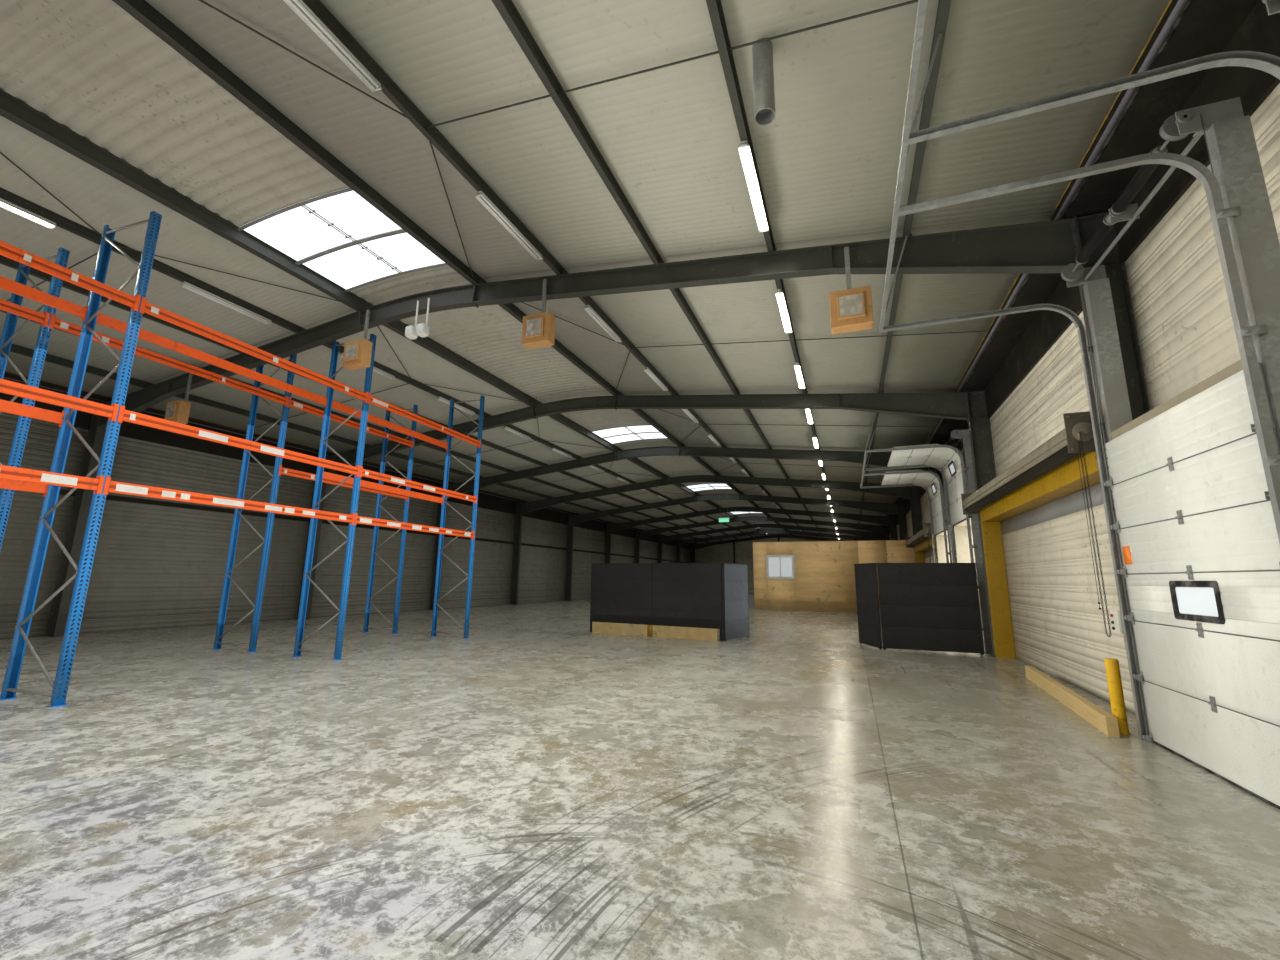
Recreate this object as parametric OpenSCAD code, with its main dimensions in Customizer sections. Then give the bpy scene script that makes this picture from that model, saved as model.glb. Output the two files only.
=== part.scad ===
// Factory hall of eleven bays with haunched steel portal frames and a curved roof crown.
// A model at half the real size. X runs across the hall, Y along it and Z up.
// The origin lies under the middle of the floor slab.

/* [Hall] */
// Spacing of the portal frames along the hall
bay = 3125; // [2900:25:3300]
// Number of bays between the two gables
bays = 11; // [8:1:11]
// Distance from the ridge line to the inner face of the side cladding
half_span = 5230; // [4900:10:5500]
// Height of the rafters' top edge at the side cladding, above the floor
rafter_top_at_wall = 2843; // [2700:1:3000]
// Slope of the roof in degrees
roof_slope = 6.24; // [5:0.01:8]
// Half the width of the curved crown
crown_half = 698; // [600:1:800]
// Thickness of the concrete floor slab
slab_t = 100; // [60:5:160]
// Thickness of the wall cladding
wall_t = 40; // [25:1:60]
// Height of the wall cladding's top above the gutter bottom
parapet_h = 150; // [130:5:200]
// Joint between the wall panels
wall_joint = 3; // [1:0.5:8]

/* [Steel frame] */
// Depth of a column, across the hall
column_d = 190; // [150:5:220]
// Width of a column's flange
column_w = 85; // [60:1:100]
// Depth of a rafter
rafter_d = 175; // [140:5:200]
// Width of a rafter's flange
rafter_w = 80; // [50:1:90]
// Depth of the haunch where it meets the column
haunch_d = 310; // [240:5:360]
// Length of the haunch
haunch_len = 1350; // [900:10:1600]
// Thickness of the flanges of columns and rafters
flange_t = 7; // [4:0.5:10]
// Thickness of the webs of columns and rafters
web_t = 5; // [3:0.5:8]
// Thickness of base plates and end plates
plate_t = 9; // [5:0.5:14]
// How far a base plate reaches into the hall
base_reach = 25; // [10:1:40]
// How far an end plate reaches under its rafter
end_plate_drop = 18; // [8:1:30]
// How far a splice or end plate reaches beyond each side of a rafter's flange
plate_lip = 4; // [1:0.5:8]
// Depth of a gable post
gable_post_d = 120; // [80:5:160]

/* [Purlins and roof] */
// Distance between purlins across the hall
purlin_pitch = 865; // [780:5:900]
// Number of purlins down each slope below the crown purlin
slope_purlins = 4; // [3:1:4]
// Depth of a purlin
purlin_d = 75; // [60:1:90]
// Width of a purlin's flange
purlin_w = 38; // [28:1:50]
// Depth of a crown purlin
crown_purlin_d = 120; // [110:1:150]
// Width of a crown purlin's flange
crown_purlin_w = 62; // [40:1:80]
// Thickness of a purlin's web and flanges
purlin_t = 4; // [2.5:0.5:6]
// Thickness of the roof panels and crown sheets
roof_t = 45; // [30:1:45]
// Joint between roof panels over the frames
roof_joint = 6; // [2:1:20]
// How far the roof panels reach over the gutter
roof_overhang = 30; // [20:1:45]
// Diameter of the sag rods between purlins
sag_rod_d = 10; // [6:1:16]
// Length of a rooflight along the hall
rooflight_len = 1000; // [600:10:1400]
// Distance from a rooflight to the next frame
rooflight_edge = 200; // [100:10:500]
// Thickness of a rooflight sheet
rooflight_t = 24; // [10:1:40]

/* [Eaves] */
// Distance from the inner face of the side cladding to the gutter's inner edge
gutter_w = 272; // [210:1:300]
// Depth of the gutter at the wall
gutter_h = 112; // [90:1:125]
// Thickness of the gutter sheet
gutter_t = 4; // [2:0.5:8]
// Height of the dark band under the gutter
eaves_band_h = 340; // [200:5:400]
// Thickness of the wall rails and eaves bands
rail_t = 20; // [8:1:40]
// Height of the left wall's middle rail above the floor
left_rail_z = 1680; // [1400:10:1900]
// Height of the left wall's middle rail section
left_rail_h = 60; // [40:5:100]
// Diameter of the rain downpipes
downpipe_d = 55; // [40:1:80]

/* [Dock doors] */
// Width of a sectional door leaf
leaf_w = 1150; // [1050:5:1200]
// Height of a plain lower door section
section_h = 285; // [270:1:290]
// Height of a ribbed upper door section
upper_section_h = 231; // [220:1:240]
// Number of sections in a leaf
sections = 6; // [5:1:6]
// Thickness of a door section
leaf_t = 20; // [14:1:26]
// Distance from the column face to a leaf's inner face
leaf_stand_off = 32; // [32:1:45]
// Centre of the first door in its bay, from the nearer frame
first_door_y = 900; // [840:5:1000]
// Centre of the second door in its bay, from the nearer frame
second_door_y = 2495; // [2420:5:2500]
// Height of the raised leaf's lower edge above the floor
raised_gap = 1485; // [1380:5:1485]
// Distance from the door posts' top down to the middle of the tracks' level run
track_drop = 85; // [70:5:110]
// Radius of the track's curve
track_r = 190; // [150:5:200]
// Distance from the track's vertical run to its inner end
track_reach = 1015; // [930:5:1100]
// Width of the roller track section
track_w = 26; // [18:1:34]
// Running clearance between a leaf and what guides it
door_gap = 0.3; // [0.2:0.1:0.8]
// Depth of a door post, across the hall
post_d = 100; // [60:2:110]
// Width of a door post along the wall
post_w = 50; // [36:1:52]
// How far a door post reaches behind the leaf
post_lap = 35; // [35:1:45]
// Height of the door posts above the floor
post_h = 2425; // [2380:5:2440]
// Height of the spring shaft above the door posts
shaft_rise = 65; // [60:1:70]
// Diameter of the spring shaft
shaft_d = 13; // [8:1:20]
// Diameter of the torsion springs
spring_d = 56; // [36:1:70]
// Diameter of the cable drums
drum_d = 100; // [70:2:110]
// Width of the door window
door_window_w = 290; // [200:5:400]
// Height of the door window
door_window_h = 120; // [90:5:165]
// Width of the door window's frame
window_frame_w = 22; // [10:1:30]

/* [Roller shutters] */
// Clear height of the shutter openings
shutter_h = 1385; // [1300:5:1400]
// Height of the shutter frame's lintel
shutter_lintel_h = 165; // [150:5:200]
// Height of the roller box over the shutter opening
roller_box_rise = 93; // [80:1:110]
// Width of the shutter frame's jambs
jamb_w = 60; // [30:1:70]
// Depth of the roller box
roller_box_d = 155; // [120:1:180]
// Height of the roller box
roller_box_h = 232; // [200:1:260]
// Lowest point of the hand chain above the floor
chain_low = 480; // [300:10:800]

/* [Box room] */
// Distance of the room's front from the frame before it
room_front_y = 1475; // [1300:5:1800]
// Width of the room from the side cladding
room_w = 3905; // [3300:5:4200]
// Height of the room's walls
room_h = 1750; // [1500:10:1900]
// Length of the room's side wall
room_len = 3125; // [2000:25:3600]
// Thickness of the plywood facing
board_t = 9; // [6:1:20]
// Depth of the timber studs
stud_d = 45; // [30:1:60]
// Distance between the timber studs
stud_pitch = 610; // [500:10:800]
// Width of the room's window
room_window_w = 665; // [500:5:800]
// Height of the room's window
room_window_h = 565; // [400:5:700]

/* [Racks and screens] */
// Height of the rack frames
rack_h = 3150; // [2800:10:3160]
// Depth of a rack, from the middle of its front posts to the middle of its rear posts
rack_d = 485; // [400:5:540]
// Distance between two frames of a rack
rack_pitch = 1895; // [1600:5:1900]
// Turn of the racks away from the hall's length, in degrees
rack_turn = 3.4; // [2:0.1:5]
// Width of a rack post along the rack
rack_post_w = 50; // [40:1:60]
// Depth of a rack post across the rack
rack_post_d = 36; // [30:1:44]
// Height of a rack beam
rack_beam_h = 70; // [50:1:90]
// Thickness of a rack beam
rack_beam_t = 25; // [16:1:30]
// Height of the lowest rack beams' top edge above the floor
rack_level = 1310; // [1200:10:1400]
// Height of the dark screens
screen_h = 960; // [800:10:1100]
// Width of one screen
screen_w = 990; // [900:5:1000]
// Thickness of a screen
screen_t = 30; // [20:1:40]

/* [Fittings] */
// Length of a strip light
light_len = 750; // [500:10:900]
// Width of a strip light
light_w = 64; // [40:1:90]
// Height of a strip light
light_h = 40; // [25:1:50]
// Side of a heater's square face
heater_w = 250; // [180:2:300]
// Depth of a heater
heater_d = 125; // [80:1:150]
// Height of the heaters' middle under the rafter's top edge
heater_drop = 530; // [480:5:600]
// Diameter of the flue stub
flue_d = 90; // [60:1:120]
// Height of the guard post
guard_post_h = 365; // [300:5:500]
// Diameter of the guard post
guard_post_d = 57; // [40:1:80]
// Length of the timber kerb
kerb_len = 1850; // [1200:10:2200]

/* [Hidden] */

// Places of the bays that have something special
dock_bays = [1, 3];
closed_bay = 1;
raised_bay = 3;
shutter_bays = [2, 4];
room_bay = 5;
heater_frame = 2;
sign_frame = 5;
door_bays = concat(dock_bays, shutter_bays);
plain_bays = [for (i = [0 : bays - 1]) if (len(search(i, door_bays)) == 0) i];
rooflight_bays = [for (i = [1 : 2 : bays - 2]) i];
full_crown_bays = [for (i = [0 : bays - 1]) if (len(search(i, rooflight_bays)) == 0) i];
door_centres = [first_door_y, second_door_y];

// Colours
c_steel = [0.30, 0.31, 0.29];
c_concrete = [0.52, 0.50, 0.46];
c_cream = [0.80, 0.78, 0.70];
c_greyed = [0.58, 0.59, 0.53];
c_panel = [0.68, 0.67, 0.61];
c_white = [0.86, 0.86, 0.81];
c_galvanised = [0.62, 0.64, 0.64];
c_yellow = [0.80, 0.62, 0.08];
c_timber = [0.74, 0.60, 0.38];
c_black = [0.10, 0.10, 0.10];
c_blue = [0.10, 0.30, 0.58];
c_orange = [0.85, 0.30, 0.10];
c_screen = [0.13, 0.14, 0.15];

// Main lines of the hall
half_run = bays * bay / 2;
gable_face = half_run + max(column_w, rafter_w) / 2;
outer_x = half_span + wall_t;
outer_y = gable_face + wall_t;
column_face = half_span - column_d;
slope_tan = tan(roof_slope);
crown_z = rafter_top_at_wall + (half_span - crown_half) * slope_tan;
crown_r = crown_half / sin(roof_slope);
arc_z = crown_z - crown_r * cos(roof_slope);
gutter_in = half_span - gutter_w;
gutter_z = rafter_top(gutter_in);
wall_top = gutter_z + parapet_h;
arc_steps = 16;
splice_drop = 12;
bearing_gap = 1;
stiffener_inset = 4;
plate_top_inset = 2;
cleat_t = 6;
cleat_w = 30;
cleat_h = 20;
eaves_rod_inset = 30;
gutter_lip_gap = 6;
rooflight_joint = 2;
outlet_drop = 50;

// Roof panel measures along the slope, from the crown joint
panel_u0 = crown_purlin_w / 2;
panel_u1 = (gutter_in + roof_overhang - crown_half) / cos(roof_slope);
crown_lap = 75;
crown_clear = 40;
trim_t = 5;
trim_inner_h = 14;
trim_outer_h = 40;

// Door measures
track_in = 18;
shaft_in = 43;
bracket_t = 10;
bracket_h = 30;
bracket_lip = 2;
bracket_start = 1;
hub_h = 8;
hub_rise = 12;
roller_len = 30;
track_gap = 2;
surround_t = 6;
surround_lap = 4;
pane_t = 6;
pane_in = 4;
cut_over = 1;
leaf_x = column_face - leaf_stand_off;
track_x = leaf_x - track_in;
track_z = post_h - track_drop;
track_curve_z = track_z - track_r;
shaft_z = post_h + shaft_rise;
shaft_x = leaf_x - shaft_in;
post_x = leaf_x + leaf_t + door_gap;
door_half = leaf_w / 2 - post_lap;
closed_gap = door_gap;
lintel_z = raised_gap;
hanger_x = track_x - track_reach;
track_sheet = 2.5;
roller_r = track_w / 2 - track_sheet - door_gap;
plain_sections = 2;
door_window_section = plain_sections;
lining_in = 2;
lining_t = 8;
header_h = 60;
shaft_end = 10;
drum_in = 40;
drum_t = 26;
spring_gap = 22;
bearing_t = 8;
bearing_in = 20;
bearing_up = 35;
centre_up = 30;
rail_h = 24;
rail_drop = 50;
bearing_down = 45;
hanger_bar = 20;
strap_w = 12;

// Roller shutter measures
roller_x = column_face - door_gap - roller_box_d;
roller_z = shutter_h + roller_box_rise;
frame_gap = 2;
shutter_y0 = column_w / 2 + frame_gap;
shutter_y1 = bay - column_w / 2 - frame_gap;
hood_start = 14;
hood_end = 8;
end_plate_t = 10;
hood_t = 3;
hood_rise = 60;
hood_top = 64;
lip_d = 32;
lip_x = 22;
roll_gap = 12;
roll_rise = 14;
frame_back = 26;
infill_in = 22;
infill_out = 18;
gear_d = 110;
gear_t = 30;
gear_y = 9;
chain_in = 30;
chain_y = 18;
chain_w = 50;
chain_t = 6;
chain_top = 20;

function frame_y(i) = -half_run + i * bay;
function rafter_top(x) = crown_z - (abs(x) - crown_half) * slope_tan;
function purlin_x(k) = crown_half + k * purlin_pitch;
function purlin_u(k) = k * purlin_pitch / cos(roof_slope);
function arc_point(r, a) = [r * sin(a), arc_z + r * cos(a)];
function arc_points(r, a0, a1, n) = [for (i = [0 : n]) arc_point(r, a0 + (a1 - a0) * i / n)];

// A closed band between two radii of the crown's arc
function arc_band(r0, r1, a) = concat(arc_points(r1, -a, a, arc_steps), arc_points(r0, a, -a, arc_steps));

// Draws a profile of the cross-section and carries it along the hall from y0 to y1
module along(y0, y1) {
    translate([0, y1, 0])
        rotate([90, 0, 0])
            linear_extrude(height = y1 - y0)
                children();
}

// Puts children in the slope's frame: X down the slope from the crown joint, Z square to it
module on_slope() {
    translate([crown_half, 0, crown_z])
        rotate([0, roof_slope, 0])
            children();
}

module above_floor() {
    translate([0, 0, slab_t])
        children();
}

module box(x0, x1, y0, y1, z0, z1) {
    translate([x0, y0, z0])
        cube([x1 - x0, y1 - y0, z1 - z0]);
}

// An I section with its depth along X
module i_section(d, w, tf, tw) {
    polygon([
        [0, -w / 2], [tf, -w / 2], [tf, -tw / 2], [d - tf, -tw / 2], [d - tf, -w / 2], [d, -w / 2],
        [d, w / 2], [d - tf, w / 2], [d - tf, tw / 2], [tf, tw / 2], [tf, w / 2], [0, w / 2]
    ]);
}

// An I section standing on the roof slope, its depth along Z
module purlin_section(d, w) {
    rotate(90)
        i_section(d, w, purlin_t, purlin_t);
}

module floor_slab() {
    color(c_concrete)
        box(-outer_x, outer_x, -outer_y, outer_y, 0, slab_t);
}

// One right-hand column with its base plate and the stiffeners behind the haunch
module column(y) {
    haunch_z = rafter_top(column_face) - haunch_d;
    translate([column_face, y, 0]) {
        translate([0, 0, plate_t])
            linear_extrude(height = gutter_z - plate_t)
                i_section(column_d, column_w, flange_t, web_t);
        translate([-base_reach, -column_w / 2, 0])
            cube([column_d + base_reach, column_w, plate_t]);
        for (z = [haunch_z, rafter_top(column_face) - flange_t])
            translate([flange_t, -column_w / 2 + stiffener_inset, z])
                cube([column_d - 2 * flange_t, column_w - 2 * stiffener_inset, flange_t]);
    }
}

module right_columns() {
    color(c_steel)
        above_floor()
            for (i = [0 : bays])
                column(frame_y(i));
}

module left_columns() {
    mirror([1, 0, 0])
        right_columns();
}

// The straight, haunched part of a portal frame, from the curved crown to the column
module rafter(y) {
    top_end = rafter_top(column_face);
    haunch_x = column_face - haunch_len;
    under = rafter_d / cos(roof_slope);
    joint = [crown_half - rafter_d * sin(roof_slope), crown_z - rafter_d * cos(roof_slope)];
    inner_flange = flange_t / cos(roof_slope);
    crown_top = [crown_half, crown_z];
    haunch_low = [column_face, top_end - haunch_d];
    haunch_start = [haunch_x, rafter_top(haunch_x) - under];
    along(y - web_t / 2, y + web_t / 2)
        polygon([crown_top, [column_face, top_end], haunch_low, haunch_start, joint]);
    along(y - rafter_w / 2, y + rafter_w / 2) {
        polygon([
            crown_top, [column_face, top_end], [column_face, top_end - inner_flange],
            [crown_half - flange_t * sin(roof_slope), crown_z - flange_t * cos(roof_slope)]
        ]);
        polygon([
            joint, haunch_start, haunch_low, haunch_low + [0, inner_flange],
            haunch_start + [0, inner_flange],
            joint + [flange_t * sin(roof_slope), flange_t * cos(roof_slope)]
        ]);
    }
    along(y - rafter_w / 2 - plate_lip, y + rafter_w / 2 + plate_lip)
        polygon([
            [column_face - plate_t, top_end - plate_top_inset],
            [column_face, top_end - plate_top_inset],
            haunch_low - [0, end_plate_drop],
            haunch_low - [plate_t, end_plate_drop]
        ]);
    rib_low = rafter_top(haunch_x) - under + plate_top_inset;
    translate([haunch_x, y - rafter_w / 2 + stiffener_inset, rib_low])
        cube([flange_t, rafter_w - 2 * stiffener_inset, under - 2 * plate_top_inset]);
    splice_plate(y, 0);
}

// The plate where the crown meets a rafter, on the side given in plate thicknesses
module splice_plate(y, side) {
    on_slope()
        translate([side * plate_t, y - rafter_w / 2 - plate_lip, -rafter_d - splice_drop])
            cube([plate_t, rafter_w + 2 * plate_lip, rafter_d + splice_drop - plate_top_inset]);
}

module right_rafters() {
    color(c_steel)
        above_floor()
            for (i = [0 : bays])
                rafter(frame_y(i));
}

module left_rafters() {
    mirror([1, 0, 0])
        right_rafters();
}

// The curved top of a portal frame, bolted between the two rafters
module crown_arch(y) {
    along(y - web_t / 2, y + web_t / 2)
        polygon(arc_band(crown_r - rafter_d, crown_r, roof_slope));
    along(y - rafter_w / 2, y + rafter_w / 2) {
        polygon(arc_band(crown_r - flange_t, crown_r, roof_slope));
        polygon(arc_band(crown_r - rafter_d, crown_r - rafter_d + flange_t, roof_slope));
    }
    splice_plate(y, -1);
    mirror([1, 0, 0])
        splice_plate(y, -1);
}

module crown_arches() {
    color(c_steel)
        above_floor()
            for (i = [0 : bays])
                crown_arch(frame_y(i));
}

// Posts that carry the gable cladding, up to the underside of the end frames
module gable_posts() {
    color(c_steel)
        above_floor()
            for (side = [-1, 1], k = [-1 : 1]) {
                x = k * half_span / 2;
                top = k == 0
                    ? arc_z + crown_r - rafter_d - bearing_gap
                    : rafter_top(abs(x) + column_w / 2) - rafter_d / cos(roof_slope) - bearing_gap;
                translate([x, side * (gable_face - gable_post_d), 0])
                    rotate([0, 0, side * 90])
                        linear_extrude(height = top)
                            i_section(gable_post_d, column_w, flange_t, web_t);
            }
}

module right_purlins() {
    color(c_steel)
        above_floor()
            on_slope()
                for (k = [1 : slope_purlins])
                    translate([purlin_u(k), 0, 0])
                        along(-gable_face, gable_face)
                            purlin_section(purlin_d, purlin_w);
}

module left_purlins() {
    mirror([1, 0, 0])
        right_purlins();
}

module crown_purlins() {
    color(c_steel)
        above_floor()
            for (side = [0, 1])
                mirror([side, 0, 0])
                    on_slope()
                        along(-gable_face, gable_face)
                            purlin_section(crown_purlin_d, crown_purlin_w);
}

// A rod between two points of the slope's plane, with a small cleat at each end
module sag_rod(a, b) {
    run = b - a;
    translate([a[0], a[1], purlin_d / 2])
        rotate([0, 0, atan2(run[1], run[0])])
            rotate([0, 90, 0])
                cylinder(h = norm(run), d = sag_rod_d, $fn = 24);
}

module rod_cleat(u, y) {
    translate([u - cleat_t / 2, y - cleat_w / 2, (purlin_d - cleat_h) / 2])
        cube([cleat_t, cleat_w, cleat_h]);
}

// Straight rods in the middle of each bay, and a V from the second purlin up to the crown purlin
module bay_rods(i) {
    y = frame_y(i) + bay / 2;
    web = purlin_t / 2;
    foot = purlin_u(1) - web;
    half = cleat_t / 2;
    for (k = [1 : slope_purlins - 1]) {
        from = purlin_u(k) + web;
        to = purlin_u(k + 1) - web;
        sag_rod([from, y], [to, y]);
        rod_cleat(from + half, y);
        rod_cleat(to - half, y);
    }
    sag_rod([purlin_u(slope_purlins) + web, y], [panel_u1 - eaves_rod_inset, y]);
    rod_cleat(purlin_u(slope_purlins) + web + half, y);
    for (side = [-1, 1]) {
        top_y = y + side * (bay / 2 - rafter_w);
        sag_rod([foot - half, y], [web + half, top_y]);
        rod_cleat(web + half, top_y);
    }
    rod_cleat(foot - half, y);
}

module sag_rods() {
    color(c_steel)
        above_floor()
            for (side = [0, 1])
                mirror([side, 0, 0])
                    on_slope()
                        for (i = [0 : bays - 1])
                            bay_rods(i);
}

// The flat insulated panels of one slope, one to a bay
module right_roof_panels() {
    color(c_panel)
        above_floor()
            on_slope()
                for (i = [0 : bays - 1])
                    along(roof_y0(i), roof_y1(i))
                        translate([panel_u0, purlin_d])
                            square([panel_u1 - panel_u0, roof_t]);
}

module left_roof_panels() {
    mirror([1, 0, 0])
        right_roof_panels();
}

function roof_y0(i) = i == 0 ? -outer_y : frame_y(i) + roof_joint / 2;
function roof_y1(i) = i == bays - 1 ? outer_y : frame_y(i + 1) - roof_joint / 2;
function rooflight_y1(i) = frame_y(i + 1) - rooflight_edge;
function rooflight_y0(i) = rooflight_y1(i) - rooflight_len;

// The crown's sheet: an arc over the crown purlins with straight laps onto the slopes
module crown_sheet_section(t) {
    r = crown_r + crown_purlin_d;
    lap = [crown_lap * cos(roof_slope), -crown_lap * sin(roof_slope)];
    mirror_lap = [-lap[0], lap[1]];
    top = arc_points(r + t, -roof_slope, roof_slope, arc_steps);
    low = arc_points(r, roof_slope, -roof_slope, arc_steps);
    polygon(concat(
        [low[arc_steps] + mirror_lap, top[0] + mirror_lap], top,
        [top[arc_steps] + lap, low[0] + lap], low
    ));
}

module crown_sheets() {
    color(c_panel)
        above_floor() {
            for (i = full_crown_bays)
                along(roof_y0(i), roof_y1(i))
                    crown_sheet_section(roof_t);
            for (i = rooflight_bays) {
                along(roof_y0(i), rooflight_y0(i) - rooflight_joint)
                    crown_sheet_section(roof_t);
                along(rooflight_y1(i) + rooflight_joint, roof_y1(i))
                    crown_sheet_section(roof_t);
            }
        }
}

module rooflights() {
    color([0.9, 0.95, 0.98])
        above_floor()
            for (i = rooflight_bays)
                along(rooflight_y0(i), rooflight_y1(i))
                    crown_sheet_section(rooflight_t);
}

// The trough between the roof's edge and the wall, open at the top
module gutter_section() {
    inner_h = purlin_d - gutter_lip_gap;
    translate([gutter_in, gutter_z])
        difference() {
            polygon([[0, 0], [gutter_w, 0], [gutter_w, gutter_h], [gutter_w - gutter_t, gutter_h],
                [gutter_w - gutter_t, inner_h], [0, inner_h]]);
            translate([gutter_t, gutter_t])
                square([gutter_w - 2 * gutter_t, gutter_h]);
        }
}

module eaves_gutters() {
    color(c_steel)
        above_floor()
            for (side = [0, 1])
                mirror([side, 0, 0])
                    along(-gable_face, gable_face)
                        gutter_section();
}

// Dark bands under both gutters between the columns, and the left wall's middle rail
module wall_rails() {
    color(c_steel)
        above_floor() {
            for (side = [0, 1], i = [0 : bays - 1])
                mirror([side, 0, 0])
                    box(half_span - rail_t, half_span, frame_y(i) + column_w / 2 + bearing_gap,
                        frame_y(i + 1) - column_w / 2 - bearing_gap, gutter_z - eaves_band_h,
                        gutter_z - bearing_gap);
            for (i = [0 : bays - 1])
                box(-half_span, -half_span + rail_t, frame_y(i) + column_w / 2 + bearing_gap,
                    frame_y(i + 1) - column_w / 2 - bearing_gap, left_rail_z, left_rail_z + left_rail_h);
        }
}

function wall_y0(i) = i == 0 ? -gable_face : frame_y(i) + wall_joint / 2;
function wall_y1(i) = i == bays - 1 ? gable_face : frame_y(i + 1) - wall_joint / 2;

module left_wall() {
    color(c_greyed)
        above_floor()
            for (i = [0 : bays - 1])
                box(-outer_x, -half_span, wall_y0(i), wall_y1(i), 0, wall_top);
}

module right_wall() {
    color(c_cream)
        above_floor()
            for (i = plain_bays)
                box(half_span, outer_x, wall_y0(i), wall_y1(i), 0, wall_top);
}

// The cladding over the doorways, and the strips beside them
module door_bay_walls() {
    half = door_half;
    color(c_cream)
        above_floor() {
            for (i = dock_bays) {
                edges = [wall_y0(i), frame_y(i) + first_door_y - half, frame_y(i) + first_door_y + half,
                    frame_y(i) + second_door_y - half, frame_y(i) + second_door_y + half, wall_y1(i)];
                box(half_span, outer_x, wall_y0(i), wall_y1(i), lintel_z, wall_top);
                for (k = [0 : 2 : 4])
                    box(half_span, outer_x, edges[k], edges[k + 1], 0, lintel_z - wall_joint);
            }
            for (i = shutter_bays)
                box(half_span, outer_x, wall_y0(i), wall_y1(i), shutter_h, wall_top);
        }
}

// The gable's outline follows the roof's outer skin up to the curved crown
module gable_section() {
    r = crown_r + crown_purlin_d - bearing_gap;
    under_sheet = (purlin_d - bearing_gap) / cos(roof_slope);
    arc = arc_points(r, -roof_slope, roof_slope, arc_steps);
    edge_x = half_span;
    edge_z = rafter_top(edge_x) + under_sheet;
    near_x = crown_half + crown_lap;
    near_z = rafter_top(near_x) + under_sheet;
    polygon(concat(
        [[-outer_x, 0], [-outer_x, edge_z], [-edge_x, edge_z], [-near_x, near_z]],
        [[-crown_half, near_z + bearing_gap]],
        [for (p = arc) if (abs(p[0]) < crown_half - crown_clear) p],
        [[crown_half, near_z + bearing_gap]],
        [[near_x, near_z], [edge_x, edge_z], [outer_x, edge_z], [outer_x, 0]]
    ));
}

module near_gable_wall() {
    color(c_cream)
        above_floor()
            along(-outer_y, -gable_face)
                gable_section();
}

module far_gable_wall() {
    color(c_cream)
        above_floor()
            along(gable_face, outer_y)
                gable_section();
}

// Folded trims that cap the side walls
module verge_trims() {
    x0 = half_span - trim_t;
    x1 = outer_x + trim_t;
    top = wall_top + trim_t;
    color(c_steel)
        above_floor()
            for (side = [0, 1])
                mirror([side, 0, 0])
                    along(-gable_face, gable_face)
                        polygon([
                            [x0, wall_top - trim_inner_h], [x0, top], [x1, top],
                            [x1, wall_top - trim_outer_h], [outer_x, wall_top - trim_outer_h],
                            [outer_x, wall_top], [half_span, wall_top],
                            [half_span, wall_top - trim_inner_h]
                        ]);
}

// Rainwater pipes on the outer faces, in line with the frames
module downpipes() {
    color(c_galvanised)
        above_floor()
            for (side = [0, 1], i = [1 : 3 : bays])
                mirror([side, 0, 0])
                    translate([outer_x + downpipe_d / 2, frame_y(i), 0]) {
                        cylinder(h = gutter_z, d = downpipe_d, $fn = 32);
                        translate([-downpipe_d / 2, -downpipe_d, gutter_z])
                            cube([downpipe_d, 2 * downpipe_d, parapet_h - outlet_drop]);
                    }
}

// Point at run s of the line at a distance inside the leaf's inner face, where s is measured on
// the leaf: up the wall, round the curve and along the ceiling
function door_path(s, inside) =
    let (r = track_r + leaf_x - track_x, arc = r * PI / 2)
    s <= track_curve_z ? [leaf_x - inside, s]
    : s <= track_curve_z + arc
        ? let (a = (s - track_curve_z) / r * 180 / PI)
          [leaf_x - r + (r - inside) * cos(a), track_curve_z + (r - inside) * sin(a)]
        : [leaf_x - r - (s - track_curve_z - arc), track_curve_z + r - inside];
function leaf_path(s) = door_path(s, 0);
function track_path(s) = door_path(s, leaf_x - track_x);

// Run at which the next hinge line lies, one section of height h away in a straight line
function next_run(s, h, low, high, n) =
    n == 0 ? (low + high) / 2
    : let (mid = (low + high) / 2)
      norm(leaf_path(mid) - leaf_path(s)) < h
        ? next_run(s, h, mid, high, n - 1)
        : next_run(s, h, low, mid, n - 1);
function height_of(k) = k < plain_sections ? section_h : upper_section_h;
function hinge_run(start, k) =
    k == 0 ? start
    : let (s = hinge_run(start, k - 1), h = height_of(k - 1)) next_run(s, h, s, s + 1.5 * h, 30);

// One section of a leaf between two hinge points, its thickness towards the outside
module door_section(y, a, b, with_window) {
    run = b - a;
    length = norm(run);
    translate([a[0], y, a[1]])
        rotate([0, -atan2(run[1], run[0]) + 90, 0])
            difference() {
                translate([0, -leaf_w / 2, door_gap])
                    cube([leaf_t, leaf_w, length - 2 * door_gap]);
                if (with_window)
                    window_cut(length);
            }
}

// A hinge bracket at both ends of a section's lower edge, with its roller in the track
module rollers(y, s, a, b) {
    ahead = (b - a) / norm(b - a);
    out = [ahead[1], -ahead[0]];
    hub = track_path(s);
    for (side = [-1, 1]) {
        edge = y + side * leaf_w / 2;
        middle = edge - side * bracket_t;
        along(middle - bracket_t / 2, middle + bracket_t / 2)
            polygon([
                a + bracket_start * ahead + bracket_lip * out, a + bracket_h * ahead + bracket_lip * out,
                a + bracket_h * ahead, hub + hub_h * ahead, hub - hub_h * ahead, a + bracket_start * ahead
            ]);
        translate([hub[0], edge + side * track_gap, hub[1]])
            rotate([90, 0, 0])
                cylinder(h = roller_len, r = roller_r, center = true, $fn = 24);
    }
}

// The window is cut through one section, in its middle and a little above half height
module window_cut(length) {
    translate([-cut_over, -door_window_w / 2, (length - door_window_h) / 2])
        cube([leaf_t + 2 * cut_over, door_window_w, door_window_h]);
}

module leaf(y, start) {
    for (k = [0 : sections - 1]) {
        low = hinge_run(start, k);
        high = hinge_run(start, k + 1);
        door_section(y, leaf_path(low), leaf_path(high), k == door_window_section);
        rollers(y, low + hub_rise, leaf_path(low), leaf_path(high));
    }
}

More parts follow.
